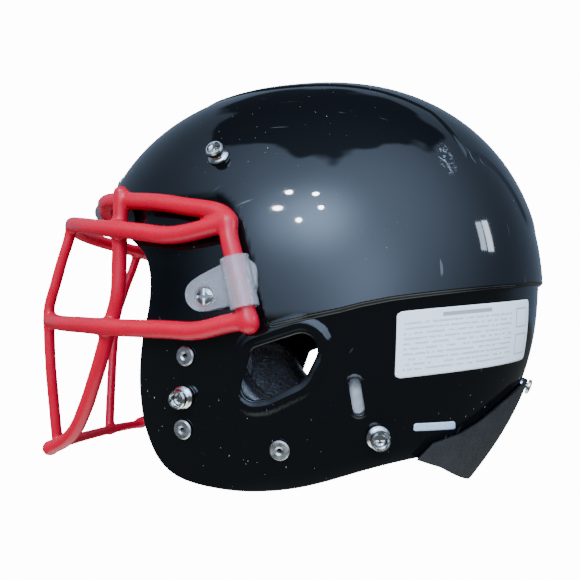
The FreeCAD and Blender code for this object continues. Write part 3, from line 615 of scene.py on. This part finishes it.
def clip_plastic():
    g = Graph("clip_plastic_black")
    tone = g.mix(g.noise(90.0, 3.0), (0.008, 0.008, 0.009, 1), (0.020, 0.020, 0.022, 1))
    rough = g.ramp(g.noise(400.0, 2.0), 0.3, 0.7, 0.25, 0.40)
    n = g.bump(g.noise(1100.0, 1.0), 0.2, 0.0002)
    return g.surface(Base_Color=tone, Roughness=rough, Normal=n)


def pad_vinyl(name, low, high, gloss):
    g = Graph(name)
    tone = g.mix(g.noise(40.0, 4.0), low, high)
    creases = g.node("ShaderNodeTexVoronoi", Scale=420.0)
    creases.feature = "DISTANCE_TO_EDGE"
    g.tree.links.new(g.where, creases.inputs["Vector"])
    grain = g.ramp(creases.outputs["Distance"], 0.0, 0.12)
    rough = g.ramp(g.noise(150.0, 2.0), 0.3, 0.7, gloss, gloss + 0.16)
    n = g.bump(grain, 0.35, 0.00025)
    n = g.bump(g.noise(45.0, 3.0), 0.4, 0.0015, n)
    return g.surface(Base_Color=tone, Roughness=rough, Normal=n, Coat_Weight=0.15, Coat_Roughness=0.2)


def pad_fabric():
    g = Graph("liner_knit_grey")
    threads = []
    for turn in ((0.0, 0.0, 0.0), (0.0, math.pi / 2, math.pi / 2)):
        w = g.node("ShaderNodeTexWave", Scale=420.0, Distortion=1.2, Detail=1.0)
        g.tree.links.new(g.stretched((1, 1, 1), turn), w.inputs["Vector"])
        threads.append(w.outputs["Fac"])
    weave = g.math("MULTIPLY", threads[0], threads[1])
    soil = g.noise(22.0, 4.0)
    tone = g.mix(soil, (0.40, 0.41, 0.43, 1), (0.56, 0.57, 0.59, 1))
    tone = g.mix(g.math("MULTIPLY", weave, 0.35), tone, (0.22, 0.22, 0.24, 1))
    n = g.bump(weave, 0.5, 0.0004)
    n = g.bump(g.noise(60.0, 3.0), 0.3, 0.0012, n)
    return g.surface(Base_Color=tone, Roughness=0.85, Normal=n, Sheen_Weight=0.25, Sheen_Roughness=0.5)


SHELL = shell_material()
RED = vinyl_red()
CHROME = metal("snap_chrome", (0.86, 0.85, 0.83, 1), 0.12)
STEEL = metal("screw_steel", (0.70, 0.69, 0.67, 1), 0.24, 0.35)
ZINC = metal("rivet_zinc", (0.62, 0.61, 0.60, 1), 0.34, 0.5)
CLEAR = clear_plastic()
RUBBER = rubber()
CLIP = clip_plastic()
JAW = pad_vinyl("jaw_pad_vinyl", (0.006, 0.006, 0.008, 1), (0.018, 0.018, 0.022, 1), 0.16)
LINER = pad_fabric()

CAD_FINISH = {
    "front_bumper": RUBBER, "rear_bumper": RUBBER, "rear_bumper_screws": STEEL, "rear_bumper_tnuts": STEEL,
    "side_strap_left": CLEAR, "side_strap_right": CLEAR, "side_strap_screws": CHROME,
    "side_strap_tnuts": STEEL, "forehead_clip_left": CLIP, "forehead_clip_right": CLIP,
    "forehead_clip_screws": STEEL, "forehead_clip_tnuts": STEEL, "chin_snap_studs": CHROME,
    "chin_snap_screws": CHROME, "chin_snap_tnuts": STEEL, "jaw_pad_rivets": ZINC,
    "jaw_pad_rivet_washers": STEEL,
}
for node, finish in CAD_FINISH.items():
    obj = frame["nodes"][node]
    if not obj.material_slots:
        obj.data.materials.append(finish)
    for slot in obj.material_slots:
        slot.material = finish

shell_skin = make_shell(SHELL)
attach(shell_skin, "root")
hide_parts("shell")

# ------------------------------------------------------------------ facemask
TOP_WIRE = [
    (118.0, -2.5, 85.5), (118.5, -5.5, 96.5), (118.5, -8.0, 107.5), (118.5, -11.0, 121.0),
    (118.5, -13.0, 127.5), (118.0, -14.0, 132.5), (117.5, -14.5, 138.0), (116.0, -16.5, 142.0),
    (115.0, -21.5, 144.5), (113.5, -28.5, 146.5), (111.0, -38.5, 148.5), (108.5, -48.5, 151.5),
    (103.5, -64.5, 155.0), (97.5, -77.0, 157.5), (90.5, -87.5, 160.0), (83.5, -97.0, 162.5),
    (75.5, -104.5, 164.5), (66.0, -111.0, 166.0), (56.0, -116.5, 168.0), (33.0, -128.5, 169.5),
    (15.0, -135.0, 171.0), (0.0, -136.5, 171.5),
]
BROW_WIRE = [
    (117.5, -14.5, 138.0), (116.5, -23.0, 136.0), (115.0, -32.0, 134.5), (113.0, -41.5, 133.5),
    (111.0, -51.5, 133.5), (109.0, -61.5, 136.0), (106.0, -72.0, 138.0), (102.5, -81.0, 140.0),
    (96.5, -92.0, 142.5), (88.5, -104.0, 145.5), (78.0, -118.0, 149.5), (66.0, -130.5, 153.5),
    (50.0, -143.5, 158.5), (22.0, -157.5, 159.5), (0.0, -160.0, 160.0),
]
LOWER_WIRE = [
    (118.0, -3.5, 87.5), (117.0, -9.5, 87.0), (116.0, -18.0, 85.5), (115.0, -27.0, 83.0),
    (113.5, -36.0, 82.5), (112.0, -45.0, 83.5), (110.0, -55.0, 84.0), (107.0, -65.5, 84.5),
    (103.5, -76.5, 85.0), (97.5, -89.0, 86.0), (84.5, -111.0, 88.0), (72.5, -129.0, 89.5),
    (64.0, -140.0, 90.5), (52.0, -152.5, 92.5), (41.0, -161.0, 94.0), (24.0, -168.0, 94.0),
    (0.0, -171.0, 94.0),
]
OUTER_UPRIGHT = [
    (97.5, -84.0, 162.5), (97.0, -84.0, 154.5), (96.0, -84.5, 147.0), (94.0, -85.5, 132.5),
    (92.5, -86.0, 119.0), (91.5, -86.5, 105.0), (90.0, -89.0, 96.0), (87.5, -94.5, 82.0),
    (84.5, -100.5, 64.0), (82.5, -104.5, 55.0), (80.0, -108.5, 45.5), (77.5, -113.5, 36.0),
    (74.0, -119.0, 26.0), (69.0, -129.5, 17.5), (63.5, -143.0, 13.5),
]
INNER_UPRIGHT = [
    (50.0, -143.5, 158.5), (49.5, -145.0, 149.0), (49.0, -149.0, 138.0), (48.0, -152.5, 127.5),
    (47.5, -155.5, 116.5), (46.5, -159.0, 106.0), (46.0, -160.5, 99.0), (45.0, -159.5, 84.5),
    (43.0, -159.5, 68.5), (41.0, -158.5, 52.5), (38.5, -157.5, 36.0), (36.5, -156.5, 20.0),
    (35.0, -155.5, 10.5),
]
CROSS_WIRE = [
    (64.0, -141.5, 12.5), (52.0, -148.5, 12.0), (40.0, -153.0, 11.5), (25.0, -155.5, 11.0),
    (0.0, -156.5, 11.0),
]
R_WIRE, R_UPRIGHT, R_INNER, R_CROSS = 4.8, 4.2, 3.4, 3.3


def both(poles):
    """The poles of a whole wire from those of its left half."""
    return poles + [(-x, y, z) for x, y, z in reversed(poles) if x]


def mirrored(poles):
    return [(-x, y, z) for x, y, z in poles]


WIRES = [(both(TOP_WIRE), R_WIRE), (both(BROW_WIRE), R_WIRE), (both(LOWER_WIRE), R_WIRE),
         (OUTER_UPRIGHT, R_UPRIGHT), (mirrored(OUTER_UPRIGHT), R_UPRIGHT),
         (INNER_UPRIGHT, R_INNER), (mirrored(INNER_UPRIGHT), R_INNER), (both(CROSS_WIRE), R_CROSS)]
LINES = [(open_curve(poles, 1.0) + np.array([0, SHIFT, 0]), radius) for poles, radius in WIRES]
WELD = 1.0                   # reach of the weld fillets


def wire_field(p):
    """Smooth distance outside the welded, dip-coated mask, and its gradient."""
    weight, gradient = np.zeros(len(p)), np.zeros((len(p), 3))
    for line, radius in LINES:
        lo, hi = line.min(0) - radius - 12, line.max(0) + radius + 12
        near = np.where(((p > lo) & (p < hi)).all(1))[0]
        for start in range(0, len(near), 4000):
            ids = near[start:start + 4000]
            q = p[ids]
            square = (q * q).sum(1)[:, None] - 2 * q @ line.T + (line * line).sum(1)[None]
            best = np.clip(square.argmin(1), 1, len(line) - 2)
            reach, away = np.full(len(q), 1e9), np.zeros((len(q), 3))
            for a, b in ((best - 1, best), (best, best + 1)):
                d = line[b] - line[a]
                t = np.clip(((q - line[a]) * d).sum(1) / (d * d).sum(1), 0, 1)
                v = q - line[a] - d * t[:, None]
                size = np.linalg.norm(v, axis=1)
                closer = size < reach
                reach = np.where(closer, size, reach)
                away = np.where(closer[:, None], v, away)
            w = np.exp(-np.clip((reach - radius) / WELD, -20, 20))
            weight[ids] += w
            gradient[ids] += w[:, None] * away / np.maximum(reach, 1e-6)[:, None]
    value = -WELD * np.log(np.maximum(weight, 1e-12))
    return value, gradient / np.maximum(np.linalg.norm(gradient, axis=1), 1e-9)[:, None]


def tube(line, radius, sides=14):
    """Plain closed tube along a line, used only to start the mask's skin."""
    points, faces = [], []
    along = np.gradient(line, axis=0)
    along /= np.linalg.norm(along, axis=1)[:, None]
    side = np.cross(along[0], (0.0, 0.0, 1.0))
    if np.linalg.norm(side) < 0.1:
        side = np.cross(along[0], (0.0, 1.0, 0.0))
    for i, centre in enumerate(line):
        side = side - along[i] * (side @ along[i])
        side /= np.linalg.norm(side)
        other = np.cross(along[i], side)
        for k in range(sides):
            a = 2 * math.pi * k / sides
            points.append(centre + radius * (math.cos(a) * side + math.sin(a) * other))
    for i in range(len(line) - 1):
        for k in range(sides):
            a, b = i * sides + k, i * sides + (k + 1) % sides
            faces.append((a, b, b + sides, a + sides))
    points += [line[0] - along[0] * radius * 0.7, line[-1] + along[-1] * radius * 0.7]
    last = (len(line) - 1) * sides
    faces += [((k + 1) % sides, k, len(points) - 2) for k in range(sides)]
    faces += [(last + k, last + (k + 1) % sides, len(points) - 1) for k in range(sides)]
    return points, faces


def applied(obj):
    """Bakes an object's modifiers into its mesh."""
    graph = bpy.context.evaluated_depsgraph_get()
    mesh = bpy.data.meshes.new_from_object(obj.evaluated_get(graph))
    obj.modifiers.clear()
    old = obj.data
    obj.data = mesh
    bpy.data.meshes.remove(old)
    mesh.name = obj.name
    return obj


def mesh_points(mesh):
    p = np.empty(len(mesh.vertices) * 3)
    mesh.vertices.foreach_get("co", p)
    return p.reshape(-1, 3)


def make_mask():
    """One welded, dip-coated skin over all the wires."""
    points, faces = [], []
    for line, radius in LINES:
        p, f = tube(line[::2] if len(line) > 20 else line, radius + 0.2)
        faces += [tuple(i + len(points) for i in face) for face in f]
        points += p
    obj = mesh_object("facemask_skin", np.array(points), faces, None, RED)
    mod = obj.modifiers.new("skin", "REMESH")
    mod.mode = "VOXEL"
    mod.voxel_size = 1.15 * MM
    applied(obj)
    mod = obj.modifiers.new("even", "SMOOTH")
    mod.factor, mod.iterations = 0.5, 4
    applied(obj)
    mesh = obj.data
    p = mesh_points(mesh) / MM
    wobble = np.sin(p[:, 0] * 0.21 + 1.0) * np.sin(p[:, 1] * 0.17) * np.sin(p[:, 2] * 0.23 + 2.0)
    for _ in range(4):
        value, gradient = wire_field(p)
        p = p - gradient * (value - 0.10 * wobble)[:, None]
    value, gradient = wire_field(p)
    mesh.vertices.foreach_set("co", (p * MM).ravel())
    mesh.polygons.foreach_set("use_smooth", [True] * len(mesh.polygons))
    mesh.normals_split_custom_set_from_vertices(gradient.tolist())
    mesh.update()
    if not mesh.materials:
        mesh.materials.append(RED)
    return obj


mask = make_mask()
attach(mask, "root")
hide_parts("mask_top_wire", "mask_brow_wire", "mask_lower_wire", "mask_outer_upright_left",
            "mask_outer_upright_right", "mask_inner_upright_left", "mask_inner_upright_right",
            "mask_chin_cross_wire")


# ------------------------------------------------------------------ liner pads
PAD_VOXEL = 4.0 * MM
PRESSURE = 4.0
CLOTH_FRAMES = 16


def make_pad(node, name, finish, swell):
    """A padded piece that starts as the CAD solid, swells as stuffed cloth and is then smoothed."""
    source = frame["nodes"][node]
    obj = source.copy()
    obj.data = source.data.copy()
    obj.name = name
    obj.data.name = name
    for key in list(obj.keys()):
        if key.startswith("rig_"):
            del obj[key]
    obj.parent = None
    bpy.context.scene.collection.objects.link(obj)
    obj.hide_render = False
    obj.hide_set(False)
    obj.data.materials.clear()
    obj.data.materials.append(finish)
    mod = obj.modifiers.new("remesh", "REMESH")
    mod.mode = "VOXEL"
    mod.voxel_size = PAD_VOXEL
    applied(obj)
    mod = obj.modifiers.new("soften", "SMOOTH")
    mod.factor, mod.iterations = 0.5, 6
    applied(obj)
    start = mesh_points(obj.data)
    cloth = obj.modifiers.new("cloth", "CLOTH")
    cloth.settings.use_pressure = True
    cloth.settings.uniform_pressure_force = PRESSURE
    cloth.settings.tension_stiffness = 30
    cloth.settings.compression_stiffness = 30
    cloth.settings.bending_stiffness = 2.0
    cloth.settings.effector_weights.gravity = 0.0
    cloth.settings.quality = 5
    cloth.collision_settings.use_collision = False
    cloth.collision_settings.use_self_collision = False
    for f in range(1, CLOTH_FRAMES + 1):
        bpy.context.scene.frame_set(f)
    applied(obj)
    bpy.context.scene.frame_set(1)
    moved = mesh_points(obj.data)
    shift_by = moved - start
    size = np.linalg.norm(shift_by, axis=1)
    cap = swell * MM
    keep = np.where(size > cap, cap / np.maximum(size, 1e-9), 1.0)
    obj.data.vertices.foreach_set("co", (start + shift_by * keep[:, None]).ravel())
    obj.data.update()
    mod = obj.modifiers.new("round", "SUBSURF")
    mod.levels = 1
    mod.render_levels = 1
    applied(obj)
    obj.data.polygons.foreach_set("use_smooth", [True] * len(obj.data.polygons))
    obj.data.update()
    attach(obj, "root")
    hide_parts(node)


# CAD node, finish, slot and how far the cloth may swell, in mm.
PADS = [("crown_pad", LINER, "liner_grey", 2.0), ("front_pad", LINER, "liner_grey", 1.5),
        ("back_pad", LINER, "liner_grey", 2.0), ("side_pad_left", LINER, "liner_grey", 1.5),
        ("side_pad_right", LINER, "liner_grey", 1.5), ("temple_pad_left", LINER, "liner_grey", 1.5),
        ("temple_pad_right", LINER, "liner_grey", 1.5), ("jaw_pad_left", JAW, "jaw_pad_vinyl", 1.8),
        ("jaw_pad_right", JAW, "jaw_pad_vinyl", 1.8)]
for node, finish, slot_name, swell in PADS:
    make_pad(node, node + "_cushion", finish, swell)


# ------------------------------------------------------------------ sticker and size mark
def decal(name, corners, across, down, radius, lift, finish):
    """A thin rounded patch that follows the shell between four corners, top front first."""
    c = np.array(corners, float)
    width = np.linalg.norm(c[3] - c[0])
    height = np.linalg.norm(c[1] - c[0])
    flat, uv = [], []
    for j in range(down + 1):
        t = j / down
        end = min(t, 1 - t) * height
        inset = radius - math.sqrt(max(radius ** 2 - (radius - end) ** 2, 0.0)) if end < radius else 0.0
        for i in range(across + 1):
            s = (inset + (width - 2 * inset) * i / across) / width
            flat.append(c[0] * (1 - s) * (1 - t) + c[1] * (1 - s) * t + c[2] * s * t + c[3] * s * (1 - t))
            uv.append((s, 1 - t))
    base = onto(np.array(flat))
    n = base_normal(base)
    outer = n - surface_gradient(relief, base, n)
    outer /= np.linalg.norm(outer, axis=1)[:, None]
    top = base + n * relief(base)[:, None] + outer * lift
    row = across + 1
    faces = [(j * row + i, (j + 1) * row + i, (j + 1) * row + i + 1, j * row + i + 1)
             for j in range(down) for i in range(across)]
    rim = list(range(row)) + [j * row + across for j in range(1, down + 1)]
    rim += [down * row + i for i in range(across - 1, -1, -1)] + [j * row for j in range(down - 1, 0, -1)]
    skirt = top[rim] - outer[rim] * (lift + 0.1)
    count = len(top)
    for k, v in enumerate(rim):
        follow = (k + 1) % len(rim)
        faces.append((v, rim[follow], count + follow, count + k))
    obj = mesh_object(name, np.vstack([top, skirt]), faces, None, finish)
    layer = obj.data.uv_layers.new(name="flat")
    uv += [uv[v] for v in rim]
    for loop in obj.data.loops:
        layer.data[loop.index].uv = uv[loop.vertex_index]
    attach(obj, "root")
    return obj


def sticker_material():
    """White label: blank but for faint ruled bars, a heading bar and two empty boxes."""
    g = Graph("sticker_white")
    place = g.node("ShaderNodeUVMap")
    place.uv_map = "flat"
    split = g.node("ShaderNodeSeparateXYZ")
    g.tree.links.new(place.outputs[0], split.inputs[0])
    u, v = split.outputs[0], split.outputs[1]

    def between(value, low, high):
        return g.math("MULTIPLY", g.math("GREATER_THAN", value, low), g.math("LESS_THAN", value, high))

    rows = g.math("FRACT", g.math("MULTIPLY", v, 13.0))
    line = between(rows, 0.30, 0.68)
    words = g.noise(1.0, 1.0, 0.5, g.stretched_uv(place.outputs[0], (46.0, 13.0, 1.0)))
    body = g.math("MULTIPLY", line, g.math("GREATER_THAN", words, 0.43))
    body = g.math("MULTIPLY", body, g.math("MULTIPLY", between(u, 0.04, 0.76), between(v, 0.08, 0.83)))
    heading = g.math("MULTIPLY", between(u, 0.26, 0.58), between(v, 0.87, 0.93))
    boxes = None
    for low, high in ((0.12, 0.46), (0.56, 0.88)):
        outer = g.math("MULTIPLY", between(u, 0.81, 0.96), between(v, low, high))
        inner = g.math("MULTIPLY", between(u, 0.82, 0.95), between(v, low + 0.025, high - 0.025))
        frame_line = g.math("SUBTRACT", outer, inner)
        boxes = frame_line if boxes is None else g.math("MAXIMUM", boxes, frame_line)
    ink = g.math("MAXIMUM", g.math("MULTIPLY", heading, 0.7), g.math("MULTIPLY", boxes, 0.5))
    ink = g.math("MAXIMUM", g.math("MULTIPLY", body, 0.42), ink)
    paper = g.mix(g.noise(40.0, 3.0), (0.88, 0.93, 0.96, 1), (0.95, 0.98, 1.0, 1))
    tone = g.mix(ink, paper, (0.12, 0.14, 0.16, 1))
    n = g.bump(g.noise(120.0, 2.0), 0.15, 0.0004)
    return g.surface(Base_Color=tone, Roughness=0.32, Normal=n)


def mark_material():
    g = Graph("size_mark_print")
    tone = g.mix(g.noise(300.0, 3.0), (0.42, 0.55, 0.68, 1), (0.62, 0.72, 0.82, 1))
    n = g.bump(g.noise(600.0, 2.0), 0.3, 0.0002)
    return g.surface(Base_Color=tone, Roughness=0.4, Normal=n)


decal("label_sticker", [(105.5, 76.1, 91.7), (102.4, 74.4, 58.7), (52.3, 146.9, 68.2), (58.7, 149.6, 101.5)],
      90, 34, 2.5, 0.22, sticker_material())
decal("size_mark", [(94.9, 83.9, 36.2), (93.8, 83.3, 32.4), (81.5, 105.1, 32.2), (83.5, 105.0, 36.4)],
      26, 6, 0.8, 0.15, mark_material())


# ------------------------------------------------------------------ stage, lights, camera
WHITE = 14.0                 # strength at which the backdrop reads as white
AIM = (0.0, 0.02, 0.12)      # what the lamps look at, in metres


def world():
    """White to the eye; in reflections a soft room: bright side, dark ceiling, dark floor."""
    w = bpy.data.worlds.new("studio")
    bpy.context.scene.world = w
    w.use_nodes = True
    t = w.node_tree
    t.nodes.clear()

    def link(value, socket):
        if isinstance(value, bpy.types.NodeSocket):
            t.links.new(value, socket)
        else:
            socket.default_value = value

    def op(kind, a, b=0.0):
        n = t.nodes.new("ShaderNodeMath")
        n.operation = kind
        link(a, n.inputs[0])
        link(b, n.inputs[1])
        return n.outputs[0]

    def fade(value, low, high, to_low, to_high):
        n = t.nodes.new("ShaderNodeMapRange")
        n.interpolation_type = "SMOOTHSTEP"
        for key, v in zip(RANGE_INPUTS, (value, low, high, to_low, to_high)):
            link(v, n.inputs[key])
        return n.outputs[0]

    way = t.nodes.new("ShaderNodeTexCoord").outputs["Generated"]
    split = t.nodes.new("ShaderNodeSeparateXYZ")
    t.links.new(way, split.inputs[0])
    high = split.outputs["Z"]

    def lobe(azimuth, elevation, power):
        a, e = math.radians(azimuth), math.radians(elevation)
        n = t.nodes.new("ShaderNodeVectorMath")
        n.operation = "DOT_PRODUCT"
        t.links.new(way, n.inputs[0])
        n.inputs[1].default_value = (math.cos(a) * math.cos(e), math.sin(a) * math.cos(e), math.sin(e))
        return op("POWER", op("MAXIMUM", n.outputs["Value"], 0.0), power)

    shapes = t.nodes.new("ShaderNodeTexNoise")
    shapes.inputs["Scale"].default_value = 3.2
    shapes.inputs["Detail"].default_value = 1.5
    t.links.new(way, shapes.inputs["Vector"])
    ragged = op("ADD", high, op("MULTIPLY", op("SUBTRACT", shapes.outputs["Fac"], 0.5), 0.35))
    ceiling = fade(ragged, 0.84, 0.87, 1.0, 0.13)
    horizon = fade(high, -0.05, -0.005, 0.0, 1.0)
    room = op("ADD", op("MULTIPLY", lobe(14, 28, 3.0), 2.6), op("MULTIPLY", lobe(-2, 27, 45.0), 6.0))
    room = op("ADD", room, op("MULTIPLY", lobe(16, 4, 30.0), 1.6))
    corner = op("SUBTRACT", 1.0, op("MULTIPLY", lobe(-52, 6, 9.0), 0.88))
    room = op("MULTIPLY", op("MULTIPLY", op("ADD", room, 0.30), corner), op("MULTIPLY", ceiling, horizon))
    floor_glow = fade(high, -0.92, -0.60, 2.4, 0.12)
    total = op("ADD", room, op("MULTIPLY", floor_glow, op("SUBTRACT", 1.0, horizon)))
    tint = t.nodes.new("ShaderNodeMix")
    tint.data_type = "RGBA"
    link(horizon, tint.inputs[0])
    tint.inputs[6].default_value = (0.9, 1.0, 1.0, 1)
    tint.inputs[7].default_value = (0.74, 1.0, 1.42, 1)
    seen = t.nodes.new("ShaderNodeBackground")
    seen.inputs["Color"].default_value = (1, 1, 1, 1)
    seen.inputs["Strength"].default_value = WHITE
    inside = t.nodes.new("ShaderNodeBackground")
    t.links.new(tint.outputs[2], inside.inputs["Color"])
    t.links.new(total, inside.inputs["Strength"])
    mix = t.nodes.new("ShaderNodeMixShader")
    t.links.new(t.nodes.new("ShaderNodeLightPath").outputs["Is Camera Ray"], mix.inputs[0])
    t.links.new(inside.outputs[0], mix.inputs[1])
    t.links.new(seen.outputs[0], mix.inputs[2])
    t.links.new(mix.outputs[0], t.nodes.new("ShaderNodeOutputWorld").inputs[0])


def area(name, azimuth, elevation, distance, width, height, power, colour=(1, 1, 1), shape="RECTANGLE"):
    """A soft box seen from AIM at this azimuth (from +X towards +Y) and elevation."""
    a, e = math.radians(azimuth), math.radians(elevation)
    way = Vector((math.cos(a) * math.cos(e), math.sin(a) * math.cos(e), math.sin(e)))
    place = Vector(AIM) + distance * way
    lamp = bpy.data.lights.new(name, "AREA")
    lamp.shape = shape
    lamp.size, lamp.size_y = width, height
    lamp.energy = power
    lamp.color = colour
    obj = bpy.data.objects.new(name, lamp)
    obj.location = place
    obj.rotation_mode = "QUATERNION"
    obj.rotation_quaternion = (Vector(AIM) - place).to_track_quat("-Z", "Y")
    bpy.context.scene.collection.objects.link(obj)
    return obj


world()
for soft in (area("soft_key", 5, 30, 1.6, 1.0, 0.8, 13.0, (0.93, 0.96, 1.0)),
             area("soft_top", 20, 75, 1.6, 0.9, 0.9, 11.0, (0.97, 0.98, 1.0)),
             area("soft_front", -70, 25, 1.8, 1.0, 0.9, 14.0, (1.0, 0.98, 0.96))):
    soft.visible_glossy = False
for k, (azimuth, elevation) in enumerate(((-10, 37), (-1, 36), (-12, 30), (1, 30), (-6, 25))):
    area("lamp_spot_%d" % k, azimuth, elevation, 1.5, 0.046, 0.046, 0.9, (1, 1, 1), "DISK")
area("window_front", 74.2, 18, 1.6, 0.10, 0.26, 1.2, (0.66, 0.80, 1.0))
area("window_rear", 79.2, 18, 1.6, 0.12, 0.28, 2.2, (0.72, 0.85, 1.0))

floor_g = Graph("floor_pale")
glow = floor_g.node("ShaderNodeEmission", Strength=WHITE, Color=(1, 1, 1, 1))
floor_g.tree.links.new(glow.outputs[0], floor_g.out.inputs[0])
FLOOR_REACH, FLOOR_LEVEL, FLOOR_SIDES = 2500, -0.3, 96
turns = [2 * math.pi * k / FLOOR_SIDES for k in range(FLOOR_SIDES)]
ring = [(FLOOR_REACH * math.cos(a), FLOOR_REACH * math.sin(a), FLOOR_LEVEL) for a in turns]
floor = mesh_object("floor", ring, [tuple(range(FLOOR_SIDES))], None, floor_g.material)
floor.visible_glossy = floor.visible_diffuse = floor.visible_transmission = False
floor.visible_shadow = False

yaw, pitch = math.radians(9.89), math.radians(6.7)
camera = bpy.data.objects.new("camera", bpy.data.cameras.new("camera"))
bpy.context.scene.collection.objects.link(camera)
camera.data.lens = 33.83
camera.data.sensor_width = 36.0
camera.data.clip_start = 0.01
camera.location = (0.380, 0.0701, 0.071)
look = Vector((-math.cos(yaw) * math.cos(pitch), -math.sin(yaw) * math.cos(pitch), math.sin(pitch)))
camera.rotation_mode = "QUATERNION"
camera.rotation_quaternion = look.to_track_quat("-Z", "Y")
bpy.context.scene.camera = camera
